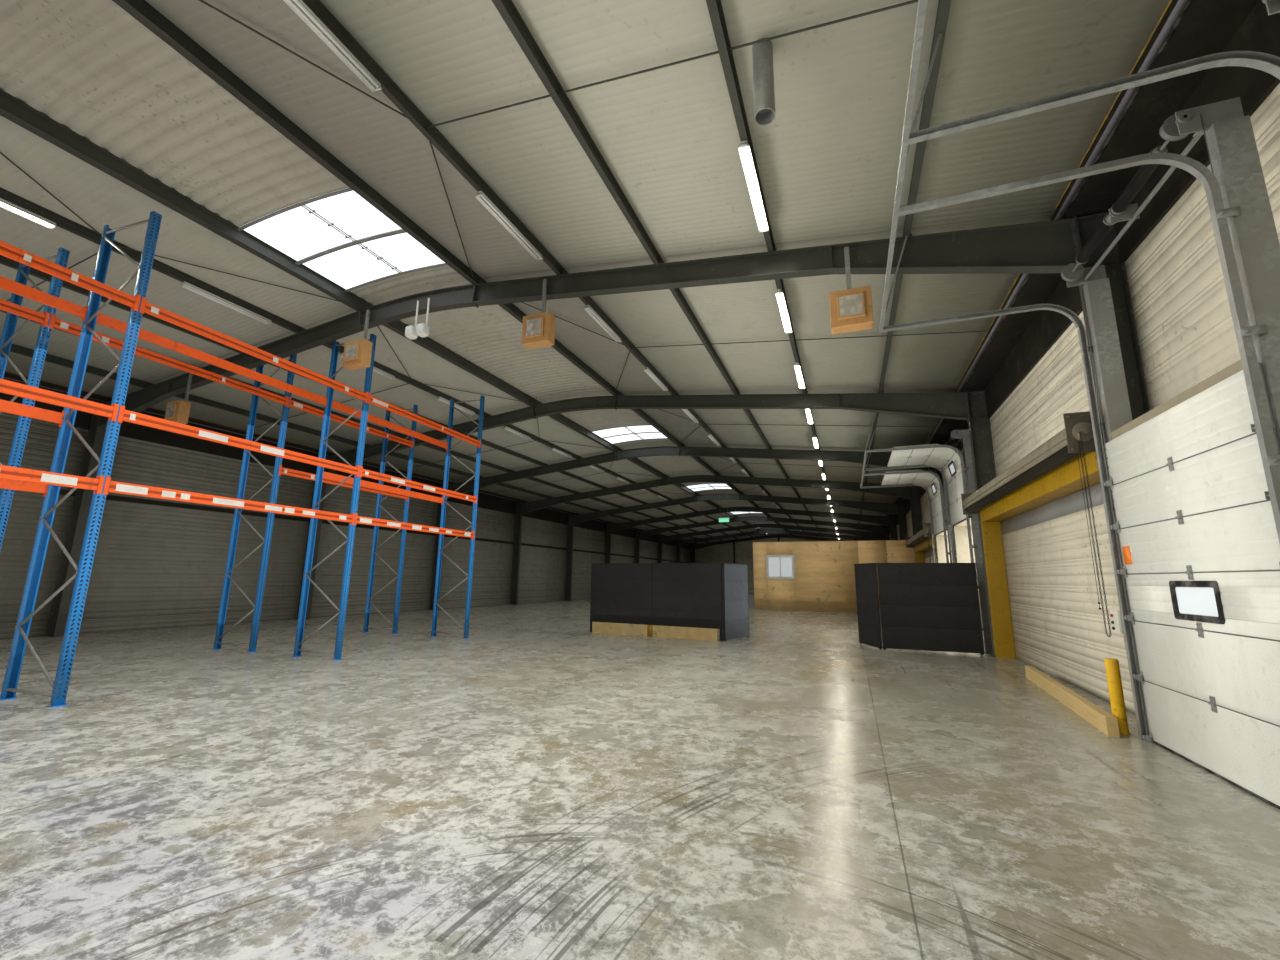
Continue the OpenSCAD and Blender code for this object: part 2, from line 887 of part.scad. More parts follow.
module closed_dock_doors() {
    color(c_white)
        above_floor()
            for (d = door_centres)
                leaf(frame_y(closed_bay) + d, closed_gap);
}

module raised_dock_doors() {
    color(c_white)
        above_floor()
            for (d = door_centres)
                leaf(frame_y(raised_bay) + d, raised_gap);
}

// Puts children in the middle of a leaf's window: X through the leaf, Z up it
module at_window(y, start) {
    a = leaf_path(hinge_run(start, door_window_section));
    b = leaf_path(hinge_run(start, door_window_section + 1));
    run = b - a;
    translate([a[0], y, a[1]])
        rotate([0, -atan2(run[1], run[0]) + 90, 0])
            translate([0, 0, norm(run) / 2])
                children();
}

// The moulded surround lies on the leaf's inner face
module window_surround() {
    out_w = door_window_w + 2 * window_frame_w;
    out_h = door_window_h + 2 * window_frame_w;
    in_w = door_window_w - 2 * surround_lap;
    in_h = door_window_h - 2 * surround_lap;
    difference() {
        translate([-surround_t, -out_w / 2, -out_h / 2])
            cube([surround_t, out_w, out_h]);
        translate([-surround_t - cut_over, -in_w / 2, -in_h / 2])
            cube([surround_t + 2 * cut_over, in_w, in_h]);
    }
}

module each_window() {
    for (d = door_centres) {
        at_window(frame_y(closed_bay) + d, closed_gap)
            children();
        at_window(frame_y(raised_bay) + d, raised_gap)
            children();
    }
}

module door_window_frames() {
    color(c_black)
        above_floor()
            each_window()
                window_surround();
}

module window_panes() {
    color([0.8, 0.9, 0.92])
        above_floor() {
            each_window()
                translate([pane_in, -door_window_w / 2, -door_window_h / 2])
                    cube([pane_t, door_window_w, door_window_h]);
            box(room_window_x0 + sash, room_window_x1 - sash, room_pane_y, room_pane_y + room_pane_t,
                room_window_z + sash, room_window_z + room_window_h - sash);
        }
}

// Steel posts behind both edges of each leaf, up to the spring shaft
module dock_door_posts() {
    color(c_galvanised)
        above_floor()
            for (i = dock_bays, d = door_centres, side = [-1, 1]) {
                y = frame_y(i) + d + side * (door_half + post_w / 2);
                box(post_x, post_x + post_d, y - post_w / 2, y + post_w / 2, 0, post_h);
            }
}

// Sheet linings between the posts and the cladding, with a header over each doorway
module dock_door_linings() {
    half = door_half;
    x0 = post_x + lining_in;
    color(c_galvanised)
        above_floor()
            for (i = dock_bays, d = door_centres) {
                y = frame_y(i) + d;
                box(x0, half_span, y - half, y + half, lintel_z, lintel_z + header_h);
                for (side = [-1, 1])
                    translate([0, y + side * (half - lining_t / 2), 0])
                        box(x0, half_span, -lining_t / 2, lining_t / 2, 0, lintel_z);
            }
}

// A strip between two distances from the track's middle line, from the floor to its inner end
module track_strip(inner, outer) {
    arc_x = track_x - track_r;
    bend_z = track_curve_z;
    polygon(concat(
        [[track_x + inner, 0], [track_x + outer, 0]],
        [for (a = [0 : 9 : 90]) [arc_x + (track_r + outer) * cos(a), bend_z + (track_r + outer) * sin(a)]],
        [[hanger_x, track_z + outer], [hanger_x, track_z + inner]],
        [for (a = [90 : -9 : 0]) [arc_x + (track_r + inner) * cos(a), bend_z + (track_r + inner) * sin(a)]]
    ));
}

// A channel bent from the floor up the wall and in under the ceiling, open towards the leaf
module track(y, side) {
    h = track_w / 2;
    t = track_sheet;
    along(y - h, y + h) {
        track_strip(-h, -h + t);
        track_strip(h - t, h);
    }
    along(min(y + side * h, y + side * (h - t)), max(y + side * h, y + side * (h - t)))
        track_strip(-h, h);
}

function track_y(d, side) = d + side * (leaf_w / 2 + track_w / 2 + track_gap);

module dock_door_tracks() {
    color(c_galvanised)
        above_floor()
            for (i = dock_bays, d = door_centres, side = [-1, 1])
                track(frame_y(i) + track_y(d, side), side);
}

// A bar across the ends of the tracks, hung from the lowest purlins by slanting straps
module track_hangers() {
    bar = hanger_bar;
    half = strap_w / 2;
    y0 = track_y(first_door_y, -1);
    y1 = track_y(second_door_y, 1);
    hook_x = purlin_x(slope_purlins);
    hook_z = rafter_top(hook_x);
    color(c_galvanised)
        above_floor()
            for (i = dock_bays) {
                y = frame_y(i);
                box(hanger_x - bar, hanger_x, y + y0 - bar, y + y1 + bar,
                    track_z - bar / 2, track_z + bar / 2);
                for (at = [y0, (y0 + y1) / 2, y1])
                    along(y + at - half, y + at + half)
                        polygon([
                            [hanger_x - bar, track_z + bar / 2],
                            [hanger_x - bar + strap_w, track_z + bar / 2],
                            [hook_x + half, hook_z - half * slope_tan],
                            [hook_x - half, hook_z + half * slope_tan]
                        ]);
            }
}

// Shaft with a drum at each end and two springs, on bearing plates and a header rail
module spring_shaft(y) {
    half = door_half + post_w / 2;
    spring_len = leaf_w / 3;
    translate([shaft_x, y, shaft_z])
        rotate([90, 0, 0]) {
            cylinder(h = 2 * (half + shaft_end), d = shaft_d, center = true, $fn = 24);
            for (side = [-1, 1]) {
                translate([0, 0, side * (half - drum_in)])
                    cylinder(h = drum_t, d = drum_d, center = true, $fn = 40);
                translate([0, 0, side * (spring_len / 2 + spring_gap)])
                    cylinder(h = spring_len, d = spring_d, center = true, $fn = 32);
            }
        }
    for (side = [-1, 1])
        box(shaft_x - bearing_in, post_x + post_d, y + side * half - bearing_t / 2,
            y + side * half + bearing_t / 2, post_h, shaft_z + bearing_up);
    box(shaft_x - bearing_in, post_x + rail_h, y - bearing_t / 2, y + bearing_t / 2,
        shaft_z - bearing_down, shaft_z + centre_up);
    box(post_x, post_x + rail_h, y - half, y + half, shaft_z - rail_drop, shaft_z - rail_drop + rail_h);
}

module spring_shafts() {
    color(c_black)
        above_floor()
            for (i = dock_bays, d = door_centres)
                spring_shaft(frame_y(i) + d);
}

// Rolled-up shutter under a folded hood, between two end plates
module shutter_box(i) {
    y0 = frame_y(i) + shutter_y0 + hood_start;
    y1 = frame_y(i) + shutter_y1 + hood_end;
    r = roller_box_d / 2 - roll_gap;
    hood_x = roller_x + lip_x - lip_d / 2;
    for (y = [y0, y1])
        box(roller_x, roller_x + roller_box_d, y - end_plate_t / 2, y + end_plate_t / 2,
            roller_z, roller_z + roller_box_h);
    along(y0, y1) {
        difference() {
            union() {
                translate([hood_x, roller_z + hood_rise])
                    square([roller_x + roller_box_d - hood_x, roller_box_h - hood_rise - hood_top]);
                translate([roller_x + lip_x, roller_z + roller_box_h - hood_top - lip_d / 2])
                    circle(d = lip_d, $fn = 32);
            }
            translate([hood_x + hood_t, roller_z])
                square([roller_box_d, roller_box_h - hood_top - hood_t]);
        }
        translate([roller_x + r + roll_gap, roller_z + r + roll_rise])
            circle(r = r, $fn = 48);
    }
}

module shutter_boxes() {
    color(c_steel)
        above_floor()
            for (i = shutter_bays)
                shutter_box(i);
}

// Painted steel jambs and lintel around each shutter opening
module shutter_frames() {
    x0 = column_face;
    color(c_yellow)
        above_floor()
            for (i = shutter_bays)
                translate([0, frame_y(i), 0])
                    difference() {
                        box(x0, half_span - frame_back, shutter_y0, shutter_y1,
                            0, shutter_h + shutter_lintel_h);
                        box(x0 - cut_over, half_span, shutter_y0 + jamb_w, shutter_y1 - jamb_w,
                            -cut_over, shutter_h);
                    }
}

// Ribbed sheets that close the openings behind the frames
module infill_panels() {
    color(c_white)
        above_floor()
            for (i = shutter_bays)
                box(half_span - infill_in, half_span + infill_out, frame_y(i) + shutter_y0,
                    frame_y(i) + shutter_y1, 0, shutter_h - frame_gap);
}

// Gear case at the near end of a shutter box with its endless hand chain
module chain_hoist(i) {
    y = frame_y(i) + shutter_y0;
    x = roller_x + roller_box_d / 2;
    z = roller_z + roller_box_h / 2;
    loop_h = z - chain_top - chain_low;
    translate([x, y + gear_y, z])
        rotate([90, 0, 0])
            cylinder(h = gear_t, d = gear_d, $fn = 40);
    translate([x - chain_in, y - chain_y, chain_low])
        rotate([0, 0, 90])
            along(-chain_t / 2, chain_t / 2)
                difference() {
                    translate([-chain_w / 2, 0])
                        square([chain_w, loop_h]);
                    translate([-chain_w / 2 + chain_t, chain_t])
                        square([chain_w - 2 * chain_t, loop_h - 2 * chain_t]);
                }
}

module chain_hoists() {
    color(c_steel)
        above_floor()
            for (i = shutter_bays)
                chain_hoist(i);
}

control_z = 500;
control_h = 115;
control_w = 90;
control_d = 42;
control_side = 22;
control_arm = 30;
control_arm_w = 40;
control_arm_y = 10;

// A push-button box on a bracket from the column's face
module door_control_box() {
    x = column_face - control_arm;
    y = frame_y(closed_bay + 1);
    color(c_cream)
        above_floor() {
            box(x - control_d, x, y - control_side, y - control_side + control_w,
                control_z, control_z + control_h);
            box(x, column_face, y - control_arm_y, y - control_arm_y + control_arm_w,
                control_z + control_arm, control_z + 3 * control_arm);
        }
}

guard_in = 95;
guard_y = 70;
guard_foot = 7;
guard_foot_t = 6;
guard_bevel = 5;

// A round post with a small foot and a bevelled top in front of the column
module guard_post() {
    r = guard_post_d / 2;
    color(c_yellow)
        above_floor()
            translate([column_face - guard_in, frame_y(shutter_bays[0]) + guard_y, 0])
                rotate_extrude($fn = 40)
                    polygon([
                        [0, 0], [r + guard_foot, 0], [r + guard_foot, guard_foot_t], [r, guard_foot_t],
                        [r, guard_post_h - guard_bevel], [r - guard_bevel, guard_post_h],
                        [0, guard_post_h]
                    ]);
}

kerb_in = 190;
kerb_y = 40;
kerb_w = 45;
kerb_h = 92;
kerb_turn = -4;
screen_rise = 145;
sill_t = 24;
sill_end = 60;

// A kerb along the shutter bay, and a plank on edge under the left-hand screens
module timber_kerbs() {
    color(c_timber)
        above_floor() {
            translate([column_face - kerb_in, frame_y(shutter_bays[0]) - kerb_y, 0])
                rotate([0, 0, kerb_turn])
                    cube([kerb_w, kerb_len, kerb_h]);
            at_screens()
                translate([sill_end - 2 * screen_w, -sill_t, 0])
                    cube([2 * screen_w - 2 * sill_end, sill_t, screen_rise]);
        }
}

// The dark screens stand beyond the second frame of the shutter bay, with a way between them
screen_turn = -7.2;
screen_x = 2180;
screen_y = 55;
wing_w = 610;
wing_turn = 71;
wing_gap = 3;
wing_rise = 20;
right_wing_w = 510;
right_wing_turn = 114;
right_screen_x = 3990;
right_screen_y = 25;
foot_w = 40;

// Puts children at the left-hand screens' end beside the way through, X along the screens
module at_screens() {
    translate([screen_x, frame_y(raised_bay) + screen_y, 0])
        rotate([0, 0, screen_turn])
            children();
}

// A screen from the origin along X on two feet, its underside raised
module screen(length, rise) {
    translate([0, 0, rise])
        cube([length, screen_t, screen_h - rise]);
    for (x = [0, length - foot_w])
        translate([x, 0, 0])
            cube([foot_w, screen_t, rise + cut_over]);
}

module dark_screens() {
    color(c_screen)
        above_floor() {
            at_screens()
                for (k = [1, 2])
                    translate([-k * screen_w, 0, 0])
                        screen(screen_w - wing_gap, screen_rise);
            translate([screen_x + wing_gap, frame_y(raised_bay) + screen_y, 0])
                rotate([0, 0, wing_turn])
                    translate([0, -screen_t - wing_gap, 0])
                        screen(wing_w, wing_rise);
            translate([right_screen_x, frame_y(raised_bay) + right_screen_y, 0]) {
                screen(track_x - track_w - right_screen_x, wing_rise);
                translate([-wing_gap, 0, 0])
                    rotate([0, 0, right_wing_turn])
                        screen(right_wing_w, wing_rise);
            }
        }
}

// Two pallet racks, each a row of braced frames that carry beams at three levels
rack_frames_at = [-2, -1, 0, 1];
rack_rows = [-675, -1830];
rack_y = 130;
rack_row_rise = [0, 90];
rack_levels = [rack_level, rack_level + 460, rack_level + 1205];
rack_sheet = 3;
rack_foot = 12;
rack_foot_t = 4;
brace_w = 16;
brace_t = 8;
brace_low = 60;
brace_count = 9;
connector_h = 110;
connector_lap = 21;
connector_t = 3;
beam_gap = 0.3;
front_beams = [[[0, 0], [1, 0], [2, 0], [0, 1], [1, 1], [2, 1], [0, 2], [1, 2], [2, 2]],
    [[0, 0], [2, 1], [0, 2], [1, 2], [2, 2]]];
rear_beams = [[[0, 0], [0, 1], [2, 1], [0, 2], [1, 2], [2, 2]], []];

// Puts children at the front post of the rack's third frame, Y along the rack
module at_rack(row) {
    translate([rack_rows[row], frame_y(heater_frame) + rack_y, 0])
        rotate([0, 0, rack_turn])
            children();
}

// A post of folded sheet with its open side towards the rack's inside, on a foot plate
module rack_post() {
    d = rack_post_d;
    w = rack_post_w;
    t = rack_sheet;
    linear_extrude(height = rack_h)
        polygon([
            [-d / 2, -w / 2], [d / 2, -w / 2], [d / 2, w / 2], [-d / 2, w / 2],
            [-d / 2, w / 2 - t], [d / 2 - t, w / 2 - t], [d / 2 - t, -w / 2 + t], [-d / 2, -w / 2 + t]
        ]);
    translate([-d / 2 - rack_foot, -w / 2 - rack_foot, 0])
        cube([d + 2 * rack_foot, w + 2 * rack_foot, rack_foot_t]);
}

// A flat brace in the frame's plane between two heights, from the rear post to the front post
module brace(rear_z, front_z) {
    x0 = -rack_d - rack_post_d / 2 + rack_sheet;
    x1 = rack_post_d / 2 - rack_sheet;
    h = brace_w / 2;
    y = -rack_post_w / 2 + rack_sheet / 2;
    along(y, y + brace_t)
        polygon([[x0, rear_z - h], [x1, front_z - h], [x1, front_z + h], [x0, rear_z + h]]);
}

module rack_frame() {
    rise = (rack_h - 3 * brace_low) / brace_count;
    rack_post();
    translate([-rack_d, 0, 0])
        mirror([1, 0, 0])
            rack_post();
    brace(brace_low, brace_low);
    brace(rack_h - brace_low, rack_h - brace_low);
    for (k = [0 : brace_count - 1]) {
        low = 1.5 * brace_low + k * rise;
        high = low + rise;
        if (k % 2 == 0)
            brace(low, high);
        else
            brace(high, low);
    }
}

module rack_frames() {
    color(c_blue)
        above_floor()
            for (row = [0, 1])
                at_rack(row)
                    for (k = rack_frames_at)
                        translate([0, k * rack_pitch, 0])
                            rack_frame();
}

// A beam between two frames with the hooked plate at each end that lies on the post's face
module rack_beam(top) {
    y0 = rack_post_w / 2 + beam_gap;
    y1 = rack_pitch - y0;
    face = rack_post_d / 2 + beam_gap;
    x1 = face + connector_t;
    box(x1 - rack_beam_t, x1, y0, y1, top - rack_beam_h, top);
    for (y = [y0 - connector_lap, y1])
        box(face, x1, y, y + connector_lap, top - connector_h + cleat_h, top + cleat_h);
    for (y = [y0, y1 - connector_t])
        box(x1 - rack_beam_t, x1, y, y + connector_t, top - connector_h + cleat_h, top + cleat_h);
}

module rack_beams() {
    color(c_orange)
        above_floor()
            for (row = [0, 1])
                at_rack(row) {
                    for (at = front_beams[row])
                        translate([0, rack_frames_at[at[0]] * rack_pitch, 0])
                            rack_beam(rack_levels[at[1]] + rack_row_rise[row]);
                    for (at = rear_beams[row])
                        translate([-rack_d, rack_frames_at[at[0]] * rack_pitch, 0])
                            mirror([1, 0, 0])
                                rack_beam(rack_levels[at[1]] + rack_row_rise[row]);
                }
}

// Box room: a boarded front and side on timber studs, open behind
room_window_in = 365;
room_y = frame_y(room_bay) + room_front_y;
room_x = half_span - room_w;
room_window_x0 = room_x + room_window_in;
room_window_x1 = room_window_x0 + room_window_w;
room_window_z = 815;
sash = 34;
sash_out = 8;
sash_in = 16;
room_pane_y = room_y + board_t + sash_out;
room_pane_t = 4;
stud_w = 22;
stud_gap = 2;

module room_boards() {
    color(c_timber)
        above_floor()
            difference() {
                linear_extrude(height = room_h)
                    polygon([
                        [room_x, room_y], [half_span - bearing_gap, room_y],
                        [half_span - bearing_gap, room_y + board_t],
                        [room_x + board_t, room_y + board_t], [room_x + board_t, room_y + room_len],
                        [room_x, room_y + room_len]
                    ]);
                box(room_window_x0, room_window_x1, room_y - cut_over, room_y + board_t + cut_over,
                    room_window_z, room_window_z + room_window_h);
            }
}

module stud_frame(length, count) {
    step = (length - stud_w) / count;
    box(0, length, 0, stud_d, 0, stud_w);
    box(0, length, 0, stud_d, room_h - stud_w, room_h);
    for (k = [0 : count])
        box(k * step, k * step + stud_w, 0, stud_d, 0, room_h);
}

module room_studs() {
    front_len = room_w - bearing_gap - board_t;
    side_len = room_len - board_t - stud_d - bearing_gap;
    color(c_timber)
        above_floor() {
            difference() {
                translate([room_x + board_t, room_y + board_t, 0])
                    stud_frame(front_len, round(front_len / stud_pitch));
                box(room_window_x0 - stud_gap, room_window_x1 + stud_gap, room_y, room_y + 2 * stud_d,
                    room_window_z - stud_gap, room_window_z + room_window_h + stud_gap);
            }
            translate([room_x + board_t + stud_d, room_y + board_t + stud_d + bearing_gap, 0])
                rotate([0, 0, 90])
                    stud_frame(side_len, round(side_len / stud_pitch));
        }
}

module room_window_frame() {
    color(c_white)
        above_floor()
            difference() {
                box(room_window_x0, room_window_x1, room_y - sash_out, room_y + board_t + sash_in,
                    room_window_z, room_window_z + room_window_h);
                box(room_window_x0 + sash, room_window_x1 - sash, room_y - stud_d, room_y + stud_d,
                    room_window_z + sash, room_window_z + room_window_h - sash);
            }
}

// Body of a strip light under a purlin: a batten that widens to its diffuser
module strip_light(k, y) {
    on_slope()
        translate([purlin_u(k), 0, 0])
            along(y - light_len / 2, y + light_len / 2)
                polygon([
                    [-light_w / 4, 0], [-light_w / 2, -light_h * light_body], [-light_w / 2, -light_h],
                    [light_w / 2, -light_h], [light_w / 2, -light_h * light_body], [light_w / 4, 0]
                ]);
}

light_body = 0.6;
lit_row = 3;
unlit_row = 1;
light_places = [for (i = [0 : bays - 1], part = [0.276, 0.776]) frame_y(i) + part * bay];
lit_left = 2;

module lit_strip_lights() {
    color([0.98, 0.97, 0.9])
        above_floor() {
            for (y = light_places)
                strip_light(lit_row, y);
            mirror([1, 0, 0])
                strip_light(unlit_row, light_places[lit_left]);
        }
}

module unlit_strip_lights() {
    color(c_white)
        above_floor() {
            for (y = light_places)
                strip_light(unlit_row, y);
            mirror([1, 0, 0])
                for (k = [0 : len(light_places) - 1])
                    if (k != lit_left)
                        strip_light(unlit_row, light_places[k]);
        }
}

// Heaters hung in front of one portal frame
heater_xs = [for (share = [-0.625, -0.109, 0.275, 0.725]) share * half_span];
hanger_t = 18;
hanger_w = 30;
hanger_lap = 60;
hanger_top = 40;
sign_rod_d = 6;
sign_rod_in = 90;
heater_y = frame_y(heater_frame) - rafter_w / 2 - hanger_t;

module heaters() {
    color([0.75, 0.50, 0.26])
        above_floor()
            for (x = heater_xs) {
                z = rafter_top(x) - heater_drop;
                box(x - heater_w / 2, x + heater_w / 2, heater_y - heater_d, heater_y,
                    z - heater_w / 2, z + heater_w / 2);
            }
}

// Straps and rods that hang the heaters and the sign from the frames
module ceiling_hangers() {
    sign_y = frame_y(sign_frame);
    color(c_galvanised)
        above_floor() {
            for (x = heater_xs) {
                top = rafter_top(x) - hanger_top;
                foot = rafter_top(x) - heater_drop + heater_w / 2;
                box(x - hanger_w / 2, x + hanger_w / 2, heater_y, heater_y + hanger_t,
                    foot - hanger_lap, top);
            }
            for (x = [sign_x - sign_rod_in, sign_x + sign_rod_in]) {
                under = rafter_top(x) - rafter_d / cos(roof_slope) - bearing_gap;
                translate([x, sign_y, sign_z + sign_h])
                    cylinder(h = under - sign_z - sign_h, d = sign_rod_d, $fn = 16);
            }
        }
}

lamp_xs = [60, 190];
lamp_tube_d = 18;
lamp_drop = 330;
lamp_w = 90;
lamp_reach = 50;
lamp_low = 70;
lamp_h = 110;

// Two white lamp heads on tubes under the curved crown
module twin_lamp() {
    y = frame_y(heater_frame) - rafter_w / 2 - lamp_tube_d / 2 - door_gap;
    top = arc_z + crown_r - rafter_d / 2;
    color(c_white)
        above_floor()
            for (x = lamp_xs) {
                translate([x, y, top - lamp_drop])
                    cylinder(h = lamp_drop, d = lamp_tube_d, $fn = 24);
                box(x - lamp_w / 2, x + lamp_w / 2, y - lamp_reach, y + lamp_tube_d / 2,
                    top - lamp_drop - lamp_low, top - lamp_drop - lamp_low + lamp_h);
            }
}

flue_from_purlin = 160;
flue_from_middle = 65;
flue_drop = 290;
flue_over = 20;
flue_mouth = 60;
flue_wall = 4;

// A short pipe that ends at the roof panel's underside, open below
module flue() {
    x = purlin_x(lit_row) + flue_from_purlin;
    y = frame_y(heater_frame) - bay / 2 + flue_from_middle;
    low = rafter_top(x) - flue_drop;
    color(c_galvanised)
        above_floor()
            difference() {
                translate([x, y, low])
                    cylinder(h = flue_drop + purlin_d + flue_over, d = flue_d, $fn = 48);
                translate([x, y, low - cut_over])
                    cylinder(h = flue_mouth, d = flue_d - 2 * flue_wall, $fn = 48);
                on_slope()
                    translate([0, y - flue_d, purlin_d])
                        cube([panel_u1, 2 * flue_d, 2 * flue_d]);
            }
}

sign_x = 875;
sign_z = 2155;
sign_w = 250;
sign_h = 100;
sign_t = 24;

module exit_sign() {
    color([0.75, 0.85, 0.78])
        above_floor()
            box(sign_x - sign_w / 2, sign_x + sign_w / 2, frame_y(sign_frame) - sign_t / 2,
                frame_y(sign_frame) + sign_t / 2, sign_z, sign_z + sign_h);
}

floor_slab();
right_columns();
left_columns();
right_rafters();
left_rafters();
crown_arches();
gable_posts();
right_purlins();
left_purlins();
crown_purlins();
sag_rods();
right_roof_panels();
left_roof_panels();
crown_sheets();
rooflights();
eaves_gutters();
wall_rails();
left_wall();
right_wall();
door_bay_walls();
near_gable_wall();
far_gable_wall();
verge_trims();
downpipes();
closed_dock_doors();
raised_dock_doors();
door_window_frames();
window_panes();
dock_door_posts();
dock_door_linings();
dock_door_tracks();
track_hangers();
spring_shafts();
shutter_boxes();
shutter_frames();
infill_panels();
chain_hoists();
door_control_box();
guard_post();
timber_kerbs();
room_boards();
room_studs();
room_window_frame();
rack_frames();
rack_beams();
dark_screens();
lit_strip_lights();
unlit_strip_lights();
heaters();
ceiling_hangers();
twin_lamp();
flue();
exit_sign();
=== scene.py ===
# Looks of the factory hall: ribbed sheets, doors, springs, chains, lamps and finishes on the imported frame
import math

import bmesh
import bpy
import numpy as np
from bpy.props import FloatProperty, FloatVectorProperty, IntProperty, PointerProperty
from bpy.types import Operator, Panel, PropertyGroup
from mathutils import Matrix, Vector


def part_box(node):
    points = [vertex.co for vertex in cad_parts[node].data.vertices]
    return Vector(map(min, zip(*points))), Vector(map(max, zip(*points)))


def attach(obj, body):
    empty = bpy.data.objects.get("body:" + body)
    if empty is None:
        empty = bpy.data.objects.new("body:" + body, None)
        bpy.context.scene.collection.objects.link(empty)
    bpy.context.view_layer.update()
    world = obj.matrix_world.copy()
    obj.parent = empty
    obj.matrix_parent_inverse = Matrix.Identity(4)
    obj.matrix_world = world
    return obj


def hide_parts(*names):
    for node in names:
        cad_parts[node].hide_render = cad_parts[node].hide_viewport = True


bl_info = {
    "name": "Factory hall",
    "version": (1, 0, 0),
    "blender": (4, 5, 0),
    "location": "3D Viewport > Sidebar > Hall",
    "description": "Dresses the packed factory hall with ribbed sheets, doors, lamps and finishes",
    "category": "Object",
}

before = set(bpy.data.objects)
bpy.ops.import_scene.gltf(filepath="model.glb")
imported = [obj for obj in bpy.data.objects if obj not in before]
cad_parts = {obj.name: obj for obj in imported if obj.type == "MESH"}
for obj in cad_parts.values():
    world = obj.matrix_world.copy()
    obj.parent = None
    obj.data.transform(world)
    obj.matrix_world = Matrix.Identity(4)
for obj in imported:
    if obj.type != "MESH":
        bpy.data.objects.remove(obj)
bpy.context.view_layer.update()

# Main lines of the hall, in metres
BODY = "root"
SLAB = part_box("floor_slab")[1][2]
INNER_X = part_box("right_wall")[0][0]
OUTER_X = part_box("right_wall")[1][0]
WALL_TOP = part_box("right_wall")[1][2]
GABLE_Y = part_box("far_gable_wall")[0][1]
OUTER_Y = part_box("far_gable_wall")[1][1]
COLUMN_X = INNER_X - 0.190
BAY = 3.125
BAYS = 11
FRAMES = -BAY * BAYS / 2 + BAY * np.arange(BAYS + 1)
SLOPE = math.radians(6.24)
CROWN_HALF = 0.698
CROWN_Z = SLAB + 2.843 + (INNER_X - CROWN_HALF) * math.tan(SLOPE)
CROWN_R = CROWN_HALF / math.sin(SLOPE)
ARC_Z = CROWN_Z - CROWN_R * math.cos(SLOPE)
PURLIN_D = 0.075
CROWN_PURLIN_D = 0.120
PURLIN_STEP = 0.865 / math.cos(SLOPE)
GUTTER_W = 0.272
PANEL_START = 0.031
PANEL_END = (INNER_X - GUTTER_W + 0.030 - CROWN_HALF) / math.cos(SLOPE)
ROOF_T = 0.045
ROOF_JOINT = 0.003
ROOFLIGHTS = [1, 3, 5, 7, 9]
DOCK_BAYS = [1, 3]
SHUTTER_BAYS = [2, 4]
HEATER_X = [-0.625, -0.109, 0.275, 0.725]
DOOR_AT = [0.900, 2.495]
BRACKET_Z = [0.25, 0.70, 1.15, 1.60, 2.05]
LEAF_W = 1.150
LEAF_T = 0.020
LEAF_X = COLUMN_X - 0.032
TRACK_X = LEAF_X - 0.018
TRACK_R = 0.190
TRACK_CURVE_Z = 2.150
SECTIONS = [0.285, 0.285, 0.231, 0.231, 0.231, 0.231]
WINDOW_AT = 2
DOOR_GAP = 0.0003
DOOR_HALF = LEAF_W / 2 - 0.035
RAISED = 1.485
DOOR_STARTS = [(DOCK_BAYS[0], DOOR_GAP), (DOCK_BAYS[1], RAISED)]
SHUTTER_H = 1.385
POST_H = 2.425
SHAFT_X = LEAF_X - 0.043
SHAFT_Z = SLAB + POST_H + 0.065
RACK_ROWS = [-0.675, -1.830]
RACK_RISE = [0.0, 0.090]
RACK_Y = FRAMES[2] + 0.130
RACK_TURN = math.radians(3.4)
RACK_PITCH = 1.895
RACK_D = 0.485
RACK_H = 3.150
RACK_LEVELS = [1.310, 1.770, 2.515]
POST_W = 0.050
POST_D = 0.036
BEAM_FACE = POST_D / 2 + 0.0033
FRONT_BEAMS = [[(-2, 0), (-1, 0), (0, 0), (-2, 1), (-1, 1), (0, 1), (-2, 2), (-1, 2), (0, 2)],
               [(-2, 0), (0, 1), (-2, 2), (-1, 2), (0, 2)]]
REAR_BEAMS = [[(-2, 0), (-2, 1), (0, 1), (-2, 2), (-1, 2), (0, 2)], []]
SCREEN_H = 0.960
SCREEN_T = 0.030
SILL_H = 0.145
X = np.array([1.0, 0.0, 0.0])
Y = np.array([0.0, 1.0, 0.0])
Z = np.array([0.0, 0.0, 1.0])
DOWN_SLOPE = np.array([math.cos(SLOPE), 0.0, -math.sin(SLOPE)])
OFF_SLOPE = np.array([math.sin(SLOPE), 0.0, math.cos(SLOPE)])


def shade(red, green, blue):
    """Linear colour from the 0 to 255 values of a colour as seen."""
    c = np.array([red, green, blue]) / 255
    return tuple(float(v) for v in np.where(c <= 0.04045, c / 12.92, ((c + 0.055) / 1.055) ** 2.4)) + (1.0,)


def colour(label, words, red, green, blue):
    """A colour setting with its default."""
    return FloatVectorProperty(name=label, description=words, subtype="COLOR", size=4, min=0, max=1,
                               default=shade(red, green, blue))


def length(label, words, value):
    """A length setting with its default in metres."""
    return FloatProperty(name=label, description=words, default=value, min=0.0001, unit="LENGTH")


